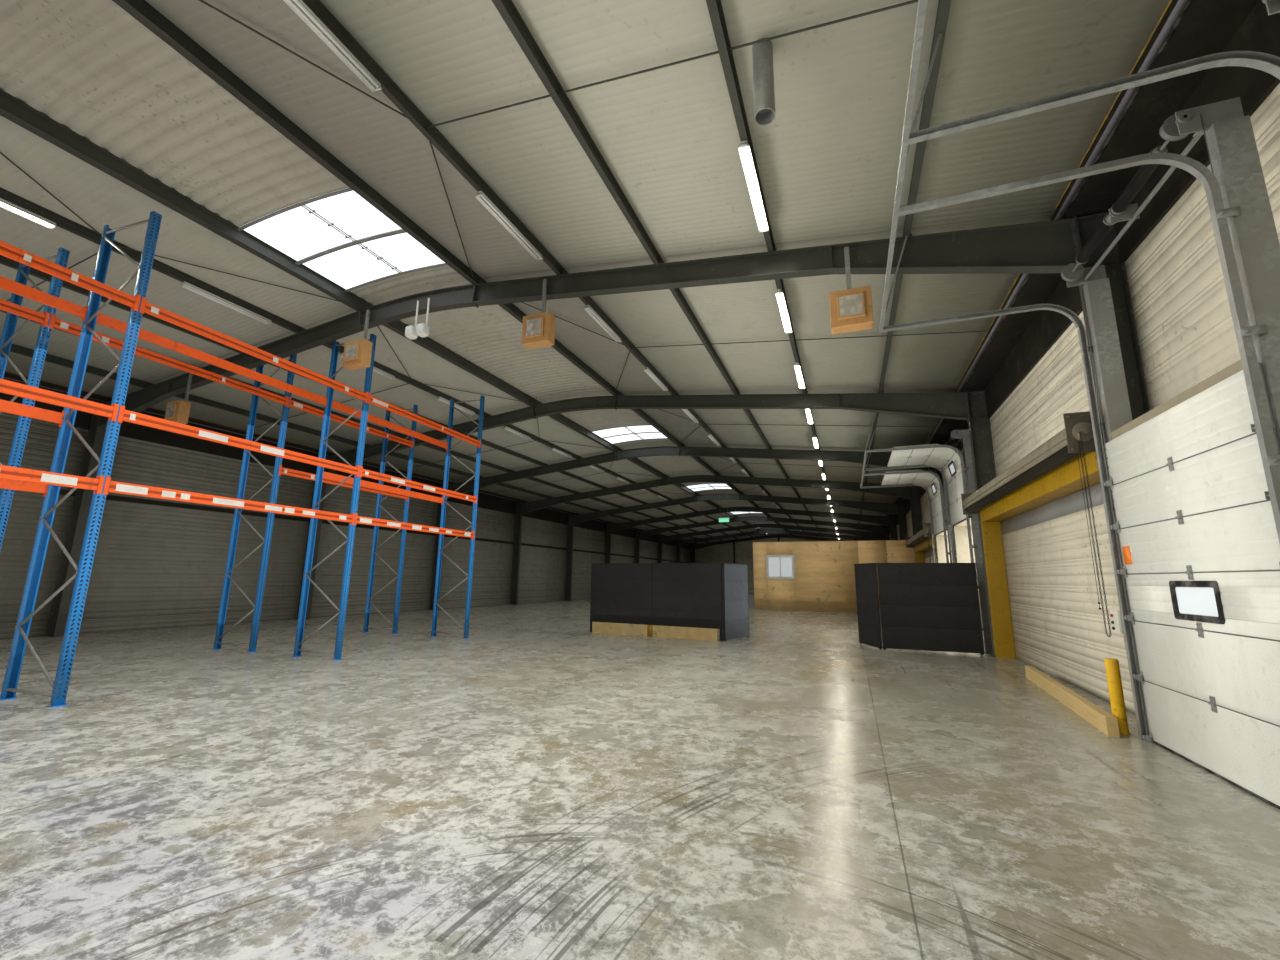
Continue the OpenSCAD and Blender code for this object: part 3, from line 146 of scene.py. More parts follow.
class HallSizes(PropertyGroup):
    """Sizes of the added pieces."""

    wall_period: length("Wall sheet height", "Height of one wall sheet from joint to joint", 0.188)
    ceiling_pitch: length("Ceiling rib pitch", "Distance between the ceiling's fine ribs", 0.050)
    roof_pitch: length("Roof rib pitch", "Distance between the ribs on the outer roof", 0.125)
    crown_pitch: length("Crown rib pitch", "Distance between the crown sheet's ribs", 0.095)
    crown_depth: length("Crown rib depth", "Depth of the crown sheet's ribs", 0.016)
    door_rib_pitch: length("Door rib pitch", "Distance between the ribs of a door section", 0.050)
    bolt_r: length("Bolt size", "Radius of a bolt head's corners", 0.0075)
    wire_r: length("Spring wire", "Radius of the torsion spring's wire", 0.0026)
    link_step: length("Chain link step", "Distance between two links of the hand chain", 0.0125)
    coils: IntProperty(name="Spring coils", description="Coils of one torsion spring", default=58, min=10)


class HallColours(PropertyGroup):
    """Colours of the finishes."""

    concrete: colour("Concrete", "Floor slab", 144, 140, 122)
    steel: colour("Steel paint", "Frames, purlins and gutters", 58, 60, 53)
    ceiling: colour("Ceiling", "Inner face of the roof panels", 172, 170, 154)
    crown: colour("Crown sheet", "Ribbed crown sheets", 178, 175, 159)
    cream: colour("Cream sheet", "Walls on the door side", 222, 214, 190)
    greyed: colour("Greyed sheet", "Wall on the far side from the doors", 124, 123, 110)
    outside: colour("Outer sheet", "Outer face of walls and roof", 196, 196, 188)
    door: colour("Door", "Sectional door panels", 218, 217, 205)
    zinc: colour("Galvanised steel", "Posts, tracks and hangers", 160, 162, 158)
    yellow: colour("Yellow paint", "Shutter frames and guard post", 158, 122, 0)
    heater: colour("Heater board", "Heater housings", 196, 148, 92)
    plywood: colour("Plywood", "Boarded room", 255, 214, 146)
    timber: colour("Timber", "Studs and kerb", 196, 158, 104)
    blue: colour("Rack blue", "Rack frames", 40, 138, 212)
    orange: colour("Rack orange", "Rack beams", 252, 100, 28)
    cloth: colour("Screen cloth", "Dark screens", 30, 31, 32)
    black: colour("Black parts", "Springs, seals and window frames", 26, 26, 28)
    white: colour("White enamel", "Lamp bodies and window frame", 226, 226, 218)


# Shapes: a shape is its points and a list of face arrays


def stack(*shapes):
    """One shape out of several: points one after another, face numbers moved up by the points before."""
    points, faces, count = [], [], 0
    for p, fs in shapes:
        points.append(p)
        faces += [f + count for f in fs]
        count += len(p)
    return np.concatenate(points), faces


def loft(rows, closed=True, caps=True):
    """Surface through m rows of n points: point (i, j) joins (i, j + 1), (i + 1, j + 1) and (i + 1, j).

    closed joins the last point of a row to its first; caps close the first and last row with a flat face.
    """
    m, n = rows.shape[:2]
    i, j = np.meshgrid(np.arange(m - 1), np.arange(n if closed else n - 1), indexing="ij")
    a = (i * n + j).ravel()
    b = (i * n + (j + 1) % n).ravel()
    faces = [np.column_stack([a, b, b + n, a + n])]
    if caps:
        faces += [np.arange(n)[::-1][None, :], ((m - 1) * n + np.arange(n))[None, :]]
    return rows.reshape(-1, 3), faces


def prism(outline, a, b, right, up):
    """Outline (s, t) becomes s * right + t * up, carried straight from a to b."""
    o = np.asarray(outline, float)
    flat = o[:, :1] * right + o[:, 1:] * up
    return loft(np.stack([flat + a, flat + b]))


def along_y(outline, y0, y1):
    """Outline in X and Z carried along Y from y0 to y1."""
    return prism(outline, Y * y0, Y * y1, X, Z)


CUBE = np.array([[0, 0, 0], [1, 0, 0], [1, 1, 0], [0, 1, 0], [0, 0, 1], [1, 0, 1], [1, 1, 1], [0, 1, 1]], float)
CUBE_FACES = np.array([[0, 3, 2, 1], [4, 5, 6, 7], [0, 1, 5, 4], [1, 2, 6, 5], [2, 3, 7, 6], [3, 0, 4, 7]])


def boxes(rows):
    """Boxes from rows of x0, x1, y0, y1, z0, z1: each corner is low + corner of a unit cube * size."""
    r = np.asarray(rows, float)
    low, high = r[:, 0::2], r[:, 1::2]
    points = low[:, None] + CUBE * (high - low)[:, None]
    return points.reshape(-1, 3), [(CUBE_FACES + 8 * np.arange(len(r))[:, None, None]).reshape(-1, 4)]


def places(origins, x=X, y=Y, z=Z):
    """Rows of an origin and three axes, one row a copy."""
    o = np.asarray(origins, float).reshape(-1, 3)
    axes = [np.broadcast_to(np.asarray(a, float), o.shape) for a in (x, y, z)]
    return np.stack([o, *axes], axis=1)


# Axes for a turned part that lies along the wall
ALONG_Y = (X, Z, -Y)


def copies(shape, rows):
    """The shape at each place: origin + p.x * first axis + p.y * second axis + p.z * third axis."""
    p, faces = shape
    q = rows[:, :1] + sum(p[None, :, k:k + 1] * rows[:, k + 1:k + 2] for k in range(3))
    shift = (len(p) * np.arange(len(rows)))[:, None, None]
    return q.reshape(-1, 3), [(f[None] + shift).reshape(-1, f.shape[1]) for f in faces]


def mirrored(shape):
    """The shape with x turned to -x."""
    p, faces = shape
    return p * [-1, 1, 1], [f[:, ::-1] for f in faces]


def both_sides(shape):
    """The shape and its mirror image across the ridge."""
    return stack(shape, mirrored(shape))


def lathe(profile, sides):
    """Profile (r, h) turned about Z: the point is (r cos a, r sin a, h)."""
    r, h = np.asarray(profile, float).T
    a = np.linspace(0, 2 * np.pi, sides, endpoint=False)
    rows = np.stack([r[:, None] * np.cos(a), r[:, None] * np.sin(a),
                     np.broadcast_to(h[:, None], (len(h), sides))],
                    axis=-1)
    return loft(rows)


def unit(v):
    """Each vector divided by its length."""
    return v / np.linalg.norm(v, axis=-1, keepdims=True)


def tube(path, radius, sides=8, side=Y, ring=False):
    """Circle of that radius carried along the path, square to its direction; side gives the circle's start."""
    p = np.asarray(path, float)
    if ring:
        t = unit(np.roll(p, -1, axis=0) - np.roll(p, 1, axis=0))
    else:
        t = unit(np.gradient(p, axis=0))
    u = unit(np.cross(t, side))
    v = np.cross(t, u)
    a = np.linspace(0, 2 * np.pi, sides, endpoint=False)
    r = np.broadcast_to(np.asarray(radius, float), len(p))[:, None, None]
    rows = p[:, None] + r * (np.cos(a)[None, :, None] * u[:, None] + np.sin(a)[None, :, None] * v[:, None])
    if ring:
        rows = np.concatenate([rows, rows[:1]])
        points, faces = loft(rows, caps=False)
        return points[:-sides], [faces[0] % (len(p) * sides)]
    return loft(rows)


def rod(a, b, radius, sides=10, side=Y):
    """Round bar from a to b."""
    return tube(np.array([a, b], float), radius, sides, side)


def rounded(w, h, r, steps=4):
    """Outline of a rectangle w by h about the origin with corner radius r: corner + r (cos a, sin a)."""
    a = np.linspace(0, np.pi / 2, steps + 1)
    corners = np.array([[w / 2 - r, h / 2 - r], [r - w / 2, h / 2 - r], [r - w / 2, r - h / 2],
                        [w / 2 - r, r - h / 2]])
    turn = a[None, :] + (np.pi / 2 * np.arange(4))[:, None]
    return (corners[:, None] + r * np.stack([np.cos(turn), np.sin(turn)], axis=-1)).reshape(-1, 2)


def ribs(t0, t1, period, knots, phase=0.0):
    """Points (t, depth) of a repeated outline from t0 to t1; both ends are cut by straight interpolation."""
    k = np.asarray(knots, float)
    first = math.floor((t0 - phase) / period) - 1
    last = math.ceil((t1 - phase) / period) + 1
    t = (phase + period * np.arange(first, last + 1)[:, None] + k[:, 0]).ravel()
    d = np.tile(k[:, 1], last - first + 1)
    keep = (t > t0 + 1e-6) & (t < t1 - 1e-6)
    ends = np.interp([t0, t1], t, d)
    return np.column_stack([np.r_[t0, t[keep], t1], np.r_[ends[0], d[keep], ends[1]]])


def bolt(r):
    """Hexagon head with its washer, standing on z = 0."""
    head = lathe([(r, 0.0015), (r, 0.0075), (r * 0.86, 0.0085)], 6)
    washer = lathe([(r * 1.25, 0), (r * 1.25, 0.0016)], 12)
    return stack(head, washer)


def axis_places(origins, z):
    """Places whose third axis is z, with the other two square to it."""
    z = unit(np.asarray(z, float))
    x = unit(np.cross(Y if abs(z[1]) < 0.9 else X, z))
    return places(origins, x, np.cross(z, x), z)


def add_object(name, data):
    """New object in the scene."""
    made = bpy.data.objects.new(name, data)
    bpy.context.scene.collection.objects.link(made)
    return made


def build(name, parts, replaces=(), smooth=None, bevel=0.0):
    """Puts (shape, finish) pairs into one mesh object that rides on the hall and stands for CAD nodes.

    smooth is the angle in degrees under which edges are shaded round.
    """
    points, faces = stack(*[shape for shape, _ in parts])
    finishes = []
    index = []
    for (_, fs), finish in parts:
        if finish not in finishes:
            finishes.append(finish)
        index.append(np.full(sum(len(f) for f in fs), finishes.index(finish)))
    sizes = np.concatenate([np.full(len(f), f.shape[1]) for f in faces])
    corners = np.concatenate([f.ravel() for f in faces])
    mesh = bpy.data.meshes.new(name)
    mesh.vertices.add(len(points))
    mesh.vertices.foreach_set("co", points.astype(np.float32).ravel())
    mesh.loops.add(len(corners))
    mesh.loops.foreach_set("vertex_index", corners.astype(np.int32))
    mesh.polygons.add(len(sizes))
    mesh.polygons.foreach_set("loop_start", np.r_[0, np.cumsum(sizes)[:-1]].astype(np.int32))
    mesh.polygons.foreach_set("material_index", np.concatenate(index).astype(np.int32))
    for finish in finishes:
        mesh.materials.append(material(finish))
    mesh.update(calc_edges=True)
    work = bmesh.new()
    work.from_mesh(mesh)
    bmesh.ops.recalc_face_normals(work, faces=work.faces)
    work.to_mesh(mesh)
    work.free()
    if smooth:
        mesh.shade_smooth()
        mesh.set_sharp_from_angle(angle=math.radians(smooth))
    piece = add_object(name, mesh)
    if bevel:
        edge = piece.modifiers.new("edge", "BEVEL")
        edge.width = bevel
        edge.segments = 2
        edge.limit_method = "ANGLE"
    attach(piece, BODY)
    if replaces:
        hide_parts(*replaces)
    return piece


def dress(finish, *nodes):
    """Gives CAD nodes a finish."""
    for name in nodes:
        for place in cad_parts[name].material_slots:
            place.material = material(finish)


# Finishes: node groups for shared effects, then one function for each kind of surface


def node(tree, kind, sets=None, **facts):
    """Adds a node, sets its facts, and fills or links its inputs."""
    made = tree.nodes.new(kind)
    for key, value in facts.items():
        setattr(made, key, value)
    for key, value in (sets or {}).items():
        if isinstance(value, bpy.types.NodeSocket):
            tree.links.new(value, made.inputs[key])
        else:
            made.inputs[key].default_value = value
    return made


def math_node(tree, operation, a, b=0.0, clamp=False):
    """Output of a math node."""
    return node(tree, "ShaderNodeMath", {0: a, 1: b}, operation=operation, use_clamp=clamp).outputs[0]


def mix(tree, amount, a, b):
    """Colour between a and b."""
    return node(tree, "ShaderNodeMix", {0: amount, 6: a, 7: b}, data_type="RGBA").outputs[2]


def between(tree, value, low, high, a=0.0, b=1.0):
    """Value taken from the range low to high into a to b, with soft ends."""
    made = node(tree, "ShaderNodeMapRange", {"Value": value, "From Min": low, "From Max": high, "To Min": a,
                                             "To Max": b}, interpolation_type="SMOOTHSTEP")
    return made.outputs[0]


def spot(tree, scale=(1, 1, 1), angle=0.0):
    """Object coordinates turned about Z, then scaled along each axis."""
    at = node(tree, "ShaderNodeTexCoord").outputs["Object"]
    return node(tree, "ShaderNodeMapping", {"Vector": at, "Rotation": (0, 0, angle), "Scale": scale}).outputs[0]


def noise(tree, vector, scale, detail=5.0, rough=0.6, warp=0.0):
    """Value of a noise pattern."""
    return node(tree, "ShaderNodeTexNoise", {"Vector": vector, "Scale": scale, "Detail": detail,
                                             "Roughness": rough, "Distortion": warp}).outputs["Fac"]


def total(tree, *terms):
    """Sum of each value times its weight."""
    out = 0.0
    for value, weight in terms:
        out = node(tree, "ShaderNodeMath", {0: value, 1: weight, 2: out}, operation="MULTIPLY_ADD").outputs[0]
    return out


def times(tree, *values):
    """Product of the values."""
    out = values[0]
    for value in values[1:]:
        out = math_node(tree, "MULTIPLY", out, value)
    return out


def group(name, inputs, outputs, fill):
    """A named node group, made once. fill(tree, sockets in) returns the sockets out."""
    tree = bpy.data.node_groups.get(name)
    if tree:
        return tree
    tree = bpy.data.node_groups.new(name, "ShaderNodeTree")
    for label, value in inputs.items():
        tree.interface.new_socket(label, in_out="INPUT", socket_type="NodeSocketFloat").default_value = value
    for label in outputs:
        tree.interface.new_socket(label, in_out="OUTPUT", socket_type="NodeSocketFloat")
    start = tree.nodes.new("NodeGroupInput")
    end = tree.nodes.new("NodeGroupOutput")
    for label, socket in zip(outputs, fill(tree, start.outputs)):
        tree.links.new(socket, end.inputs[label])
    return tree


def fill_patches(tree, given):
    """Noise above a threshold, with a soft edge."""
    value = noise(tree, spot(tree), given["Scale"], 3.0, 0.65)
    low = math_node(tree, "SUBTRACT", given["Threshold"], given["Softness"])
    high = math_node(tree, "ADD", given["Threshold"], given["Softness"])
    return [between(tree, value, low, high)]


def fill_runs(tree, given):
    """Noise stretched downwards, as dirt that ran."""
    value = noise(tree, spot(tree, (1, 1, 0.05)), given["Scale"], 2.0, 0.65)
    return [between(tree, value, 0.52, 0.68)]


def fill_specks(tree, given):
    """Fine noise peaks, kept to some areas."""
    near = between(tree, noise(tree, spot(tree), given["Scale"], 0.0), 0.66, 0.78)
    where = between(tree, noise(tree, spot(tree), times(tree, given["Scale"], 0.11), 1.0), 0.5, 0.62)
    return [times(tree, near, where)]


def fill_grain(tree, given):
    """Plain fine noise as a height."""
    return [noise(tree, spot(tree), given["Scale"], 0.0)]


def fill_scratches(tree, given):
    """Noise stretched along X and along Y: the larger of both."""
    one = noise(tree, spot(tree, (1, 0.04, 0.04)), given["Scale"], 2.0, 0.7)
    two = noise(tree, spot(tree, (0.03, 1, 0.03)), given["Scale"], 2.0, 0.7)
    a = between(tree, one, 0.66, 0.72)
    b = between(tree, two, 0.66, 0.72)
    return [math_node(tree, "MAXIMUM", a, b)]


def effect(tree, name, **given):
    """Output of a shared effect: patches, runs, specks, grain or scratches."""
    kinds = {
        "patches": ({"Scale": 1.0, "Threshold": 0.5, "Softness": 0.1}, ["Mask"], fill_patches),
        "runs": ({"Scale": 6.0}, ["Mask"], fill_runs),
        "specks": ({"Scale": 30.0}, ["Mask"], fill_specks),
        "grain": ({"Scale": 200.0}, ["Height"], fill_grain),
        "scratches": ({"Scale": 8.0}, ["Mask"], fill_scratches),
    }
    inputs, outputs, fill = kinds[name]
    made = node(tree, "ShaderNodeGroup")
    made.node_tree = group(name, inputs, outputs, fill)
    for label, value in given.items():
        made.inputs[label.capitalize()].default_value = value
    return made.outputs[0]


def start_material(name, colour_value, roughness, metallic=0.0, **plain):
    """New material with its shader; plain sets constants on the shader's own sockets."""
    made = bpy.data.materials.new(name)
    made.use_nodes = True
    tree = made.node_tree
    shader = tree.nodes["Principled BSDF"]
    shader.inputs["Base Color"].default_value = colour_value
    shader.inputs["Roughness"].default_value = roughness
    shader.inputs["Metallic"].default_value = metallic
    for label, value in plain.items():
        shader.inputs[label.replace("_", " ").title().replace("Ior", "IOR")].default_value = value
    made.diffuse_color = colour_value
    return made, tree, shader


def relief(tree, shader, height, depth, strength=1.0):
    """Bump from a height, in metres."""
    made = node(tree, "ShaderNodeBump", {"Height": height, "Distance": depth, "Strength": strength})
    tree.links.new(made.outputs[0], shader.inputs["Normal"])


def darker(value, k):
    """The colour times k."""
    return tuple(v * k for v in value[:3]) + (1.0,)


def tinted(value, other, k):
    """The colour moved by k towards another."""
    return tuple(a + (b - a) * k for a, b in zip(value[:3], other[:3])) + (1.0,)


DIRT = shade(92, 80, 62)
DUST = shade(170, 163, 148)
RUST = shade(120, 70, 38)


def painted(name, base, roughness=0.45, dirt=0.35, dirt_scale=1.4, runs=0.0, specks=0.0, scuffs=0.0,
            under=RUST, metallic=0.0, grain=220.0, bump=0.0004, soil=None, bands=0.0):
    """Coated sheet or painted steel: patches, runs and level bands of dirt, specks, scuffs, fine grain."""
    made, tree, shader = start_material(name, base, roughness, metallic)
    soil = soil or tinted(darker(base, 0.45), DIRT, 0.35)
    tone = mix(tree, effect(tree, "patches", scale=dirt_scale, threshold=0.56, softness=0.16), base,
               tinted(base, soil, dirt))
    small = effect(tree, "patches", scale=dirt_scale * 7.3, threshold=0.6, softness=0.12)
    tone = mix(tree, times(tree, small, 0.7), tone, tinted(base, soil, dirt * 1.4))
    if runs:
        tone = mix(tree, times(tree, effect(tree, "runs", scale=7.0), runs), tone, soil)
    if bands:
        level = between(tree, noise(tree, spot(tree, (1, 0.45, 26)), 1.0, 2.0, 0.65), 0.50, 0.64)
        where = between(tree, noise(tree, spot(tree), 0.8, 1.0, 0.6), 0.40, 0.60, 0.35, 1.0)
        tone = mix(tree, times(tree, level, where, bands), tone, soil)
    if specks:
        tone = mix(tree, times(tree, effect(tree, "specks", scale=34.0), specks), tone,
                   darker(soil, 0.6))
    if scuffs:
        worn = times(tree, effect(tree, "scratches", scale=11.0), scuffs)
        tone = mix(tree, worn, tone, under)
    tree.links.new(tone, shader.inputs["Base Color"])
    rough = between(tree, small, 0.0, 1.0, roughness, min(1.0, roughness + 0.22))
    tree.links.new(rough, shader.inputs["Roughness"])
    if bump:
        relief(tree, shader, effect(tree, "grain", scale=grain), bump)
    return made


def galvanised(name, base, roughness=0.42, scale=60.0):
    """Zinc with its crystal pattern: cells of slightly different grey under dull patches."""
    made, tree, shader = start_material(name, base, roughness, 0.35)
    cells = node(tree, "ShaderNodeTexVoronoi", {"Vector": spot(tree), "Scale": scale})
    tone = node(tree, "ShaderNodeSeparateColor", {0: cells.outputs["Color"]}).outputs[0]
    colours = mix(tree, tone, darker(base, 0.72), darker(base, 1.08))
    dull = effect(tree, "patches", scale=3.0, threshold=0.5, softness=0.15)
    tree.links.new(mix(tree, dull, colours, tinted(base, DIRT, 0.35)), shader.inputs["Base Color"])
    tree.links.new(between(tree, tone, 0.0, 1.0, roughness - 0.08, roughness + 0.12),
                   shader.inputs["Roughness"])
    relief(tree, shader, effect(tree, "grain", scale=260.0), 0.0002)
    return made


def concrete(name, base):
    """Worn floor: lacy pale crust with bright rims, darker islands, wiped streaks, tyre marks, saw cuts."""
    made, tree, shader = start_material(name, base, 0.3)
    at = spot(tree)
    parts = node(tree, "ShaderNodeSeparateXYZ", {0: at}).outputs
    near = between(tree, parts[1], -13.3, -10.4, 1.0, 0.0)
    left = between(tree, parts[0], 2.2, 4.2, 1.0, 0.0)
    # Noises that the layers share
    broad = noise(tree, at, 0.5, 1.0, 0.6)
    lace = noise(tree, at, 9.0, 7.0, 0.78)
    fine = noise(tree, at, 60.0, 1.0, 0.7)
    marble = total(tree, (noise(tree, at, 24.0, 4.0, 0.75, 0.5), 0.55), (noise(tree, at, 7.0, 5.0, 0.75), 0.45))
    sweep = noise(tree, spot(tree, (0.9, 0.12, 1), 0.62), 2.4, 4.0, 0.7)
    # Ground tone, wiped and marbled
    tone = mix(tree, between(tree, broad, 0.38, 0.62), tinted(base, shade(128, 118, 92), 0.7), base)
    tone = mix(tree, times(tree, between(tree, sweep, 0.44, 0.60), 0.5), tone, shade(158, 157, 146))
    tone = mix(tree, times(tree, between(tree, marble, 0.47, 0.58), 0.35), tone, shade(172, 171, 160))
    # Pale crust, stronger near the camera and bluish in one corner
    field = total(tree, (noise(tree, at, 1.6, 3.0, 0.62), 1.0), (lace, 0.5), (left, 0.11), (near, 0.03))
    crust = between(tree, field, 0.745, 0.825)
    worn = math_node(tree, "ADD", total(tree, (near, 0.60), (left, 0.12)), 0.22, clamp=True)
    pale = mix(tree, between(tree, marble, 0.43, 0.57), shade(132, 131, 120), shade(192, 191, 181))
    cool = times(tree, between(tree, parts[1], -13.4, -12.9, 1.0, 0.0),
                 between(tree, parts[0], 2.9, 3.3, 1.0, 0.0))
    cool = times(tree, cool, between(tree, noise(tree, at, 1.4, 2.0, 0.6), 0.40, 0.54))
    blue = mix(tree, between(tree, marble, 0.44, 0.56), shade(112, 114, 122), shade(178, 181, 187))
    pale = mix(tree, times(tree, cool, 0.7), pale, blue)
    tone = mix(tree, times(tree, crust, worn), tone, pale)
    # Islands in the crust, bright rims, veins and pits
    inner = total(tree, (noise(tree, at, 4.2, 3.0, 0.6), 1.0), (lace, 0.35))
    island = times(tree, between(tree, inner, 0.745, 0.790), crust)
    rim = times(tree, between(tree, inner, 0.722, 0.736), between(tree, inner, 0.742, 0.762, 1.0, 0.0), crust)
    border = times(tree, between(tree, field, 0.735, 0.752), between(tree, field, 0.762, 0.785, 1.0, 0.0))
    rim = times(tree, math_node(tree, "MAXIMUM", rim, border), between(tree, lace, 0.42, 0.52), worn)
    tone = mix(tree, times(tree, rim, 0.55), tone, shade(206, 205, 196))
    curl = math_node(tree, "SUBTRACT", noise(tree, at, 11.0, 3.0, 0.6, 1.6), 0.5)
    vein = between(tree, math_node(tree, "ABSOLUTE", curl), 0.003, 0.020, 1.0, 0.0)
    vein = times(tree, vein, between(tree, lace, 0.44, 0.56), between(tree, field, 0.70, 0.76), worn)
    tone = mix(tree, times(tree, vein, 0.55), tone, shade(210, 209, 201))
    smooth = mix(tree, between(tree, fine, 0.3, 0.7), shade(128, 126, 111), shade(141, 139, 124))
    tone = mix(tree, times(tree, island, 0.7), tone, smooth)
    pits = times(tree, between(tree, marble, 0.38, 0.45, 1.0, 0.0), worn)
    tone = mix(tree, times(tree, pits, 0.45), tone, shade(104, 102, 92))
    # Strokes, tyre marks and saw cuts
    scrape = noise(tree, spot(tree, (26.0, 0.7, 1), 0.45), 1.0, 2.0, 0.6)
    cross = noise(tree, spot(tree, (22.0, 0.5, 1), -0.2), 1.0, 2.0, 0.6)
    lines = math_node(tree, "MAXIMUM", between(tree, scrape, 0.65, 0.70), between(tree, cross, 0.68, 0.73))
    lines = times(tree, lines, between(tree, sweep, 0.42, 0.56), 0.5)
    lines = math_node(tree, "MAXIMUM", lines, tyre_marks(tree, parts))
    tone = mix(tree, lines, tone, shade(74, 72, 64))
    cuts = saw_cuts(tree)
    tone = mix(tree, times(tree, cuts, 0.6), tone, shade(70, 68, 60))
    tree.links.new(tone, shader.inputs["Base Color"])
    tree.links.new(total(tree, (crust, 0.08), (marble, 0.10), (island, -0.06), (1.0, 0.17)),
                   shader.inputs["Roughness"])
    height = math_node(tree, "SUBTRACT", times(tree, noise(tree, at, 30.0, 1.0), 0.4), cuts)
    relief(tree, shader, height, 0.0010)
    return made


def tyre_marks(tree, parts):
    """Dark arcs about two turning places: noise over radius and angle, on part of a ring and in patches."""
    marks = []
    for x, y, near, far, start, full in ((5.25, -13.45, 1.9, 2.7, 2.1, 2.4), (3.4, -14.0, 0.95, 1.5, 0.7, 1.0)):
        dx, dy = math_node(tree, "SUBTRACT", parts[0], x), math_node(tree, "SUBTRACT", parts[1], y)
        r = math_node(tree, "SQRT", total(tree, (dx, dx), (dy, dy)))
        turn = math_node(tree, "ARCTAN2", dy, dx)
        grid = node(tree, "ShaderNodeCombineXYZ",
                    {0: times(tree, r, 70.0), 1: times(tree, turn, 3.0), 2: x}).outputs[0]
        line = between(tree, noise(tree, grid, 1.0, 2.0, 0.65), 0.54, 0.63)
        ring = times(tree, between(tree, r, near, near + 0.2), between(tree, r, far - 0.3, far, 1.0, 0.0))
        ring = times(tree, ring, between(tree, turn, start, full))
        marks.append(times(tree, line, ring))
    patch = between(tree, noise(tree, spot(tree), 1.1, 1.0, 0.6), 0.42, 0.55)
    return times(tree, math_node(tree, "MAXIMUM", *marks), patch, 0.7)


def saw_cuts(tree):
    """Lines cut into the floor under each frame and lengthwise in four strips."""
    parts = node(tree, "ShaderNodeSeparateXYZ", {0: spot(tree)}).outputs
    lines = []
    for axis, step, offset in ((1, BAY, BAY / 2), (0, 3.78, 0.0)):
        turn = math_node(tree, "PINGPONG", math_node(tree, "ADD", parts[axis], 100 * step + offset), step / 2)
        lines.append(between(tree, turn, 0.0015, 0.0035, 1.0, 0.0))
    return math_node(tree, "MAXIMUM", *lines)


def wooden(name, base, axis=(0.35, 8.0, 8.0), boards=True):
    """Wood: grain lines stretched along one axis, knots and a dusty cast."""
    made, tree, shader = start_material(name, base, 0.7)
    at = spot(tree, axis)
    bend = noise(tree, at, 1.6, 3.0, 0.5)
    lines = noise(tree, at, 9.0, 6.0, 0.7)
    tone = mix(tree, between(tree, bend, 0.35, 0.65), darker(base, 0.88), darker(base, 1.05))
    tone = mix(tree, times(tree, between(tree, lines, 0.5, 0.7), 0.45), tone, darker(base, 0.66))
    if boards:
        knots = effect(tree, "specks", scale=9.0)
        tone = mix(tree, times(tree, knots, 0.6), tone, darker(base, 0.4))
    dust = effect(tree, "patches", scale=2.0, threshold=0.6, softness=0.12)
    tone = mix(tree, times(tree, dust, 0.2), tone, DUST)
    tree.links.new(tone, shader.inputs["Base Color"])
    tree.links.new(between(tree, lines, 0.3, 0.7, 0.55, 0.8), shader.inputs["Roughness"])
    relief(tree, shader, lines, 0.0006)
    return made


# Besides the lit tubes and the exit sign, this paints daylight as a glow into the rooflights and window panes,
# where no lamp is
def glowing(name, base, glow, strength, lines=0.0, mirrored=1.0):
    """Lit surface with its own light; glossy rays see it brighter, as the picture's white is cut off."""
    made, tree, shader = start_material(name, base, 0.4, emission_color=glow, emission_strength=strength)
    tone = mix(tree, effect(tree, "patches", scale=6.0, threshold=0.6, softness=0.2), base, darker(base, 0.9))
    tree.links.new(tone, shader.inputs["Base Color"])
    if lines:
        relief(tree, shader, effect(tree, "grain", scale=lines), 0.0004)
    if mirrored > 1.0:
        ray = node(tree, "ShaderNodeLightPath").outputs["Is Glossy Ray"]
        power = between(tree, ray, 0.0, 1.0, strength, strength * mirrored)
        tree.links.new(power, shader.inputs["Emission Strength"])
    return made


def foil(name):
    """Crinkled reflective sheet on the heaters."""
    made, tree, shader = start_material(name, shade(214, 212, 204), 0.3, 0.55)
    cells = node(tree, "ShaderNodeTexVoronoi", {"Vector": spot(tree), "Scale": 26.0})
    tone = mix(tree, cells.outputs["Distance"], shade(226, 224, 214), shade(178, 172, 158))
    tree.links.new(tone, shader.inputs["Base Color"])
    relief(tree, shader, cells.outputs["Distance"], 0.004)
    return made


def rubber(name, base):
    """Dull rubber with chalky patches."""
    made, tree, shader = start_material(name, base, 0.75)
    chalk = effect(tree, "patches", scale=12.0, threshold=0.58, softness=0.15)
    tree.links.new(mix(tree, chalk, base, tinted(base, DUST, 0.3)), shader.inputs["Base Color"])
    relief(tree, shader, effect(tree, "grain", scale=150.0), 0.0004)
    return made


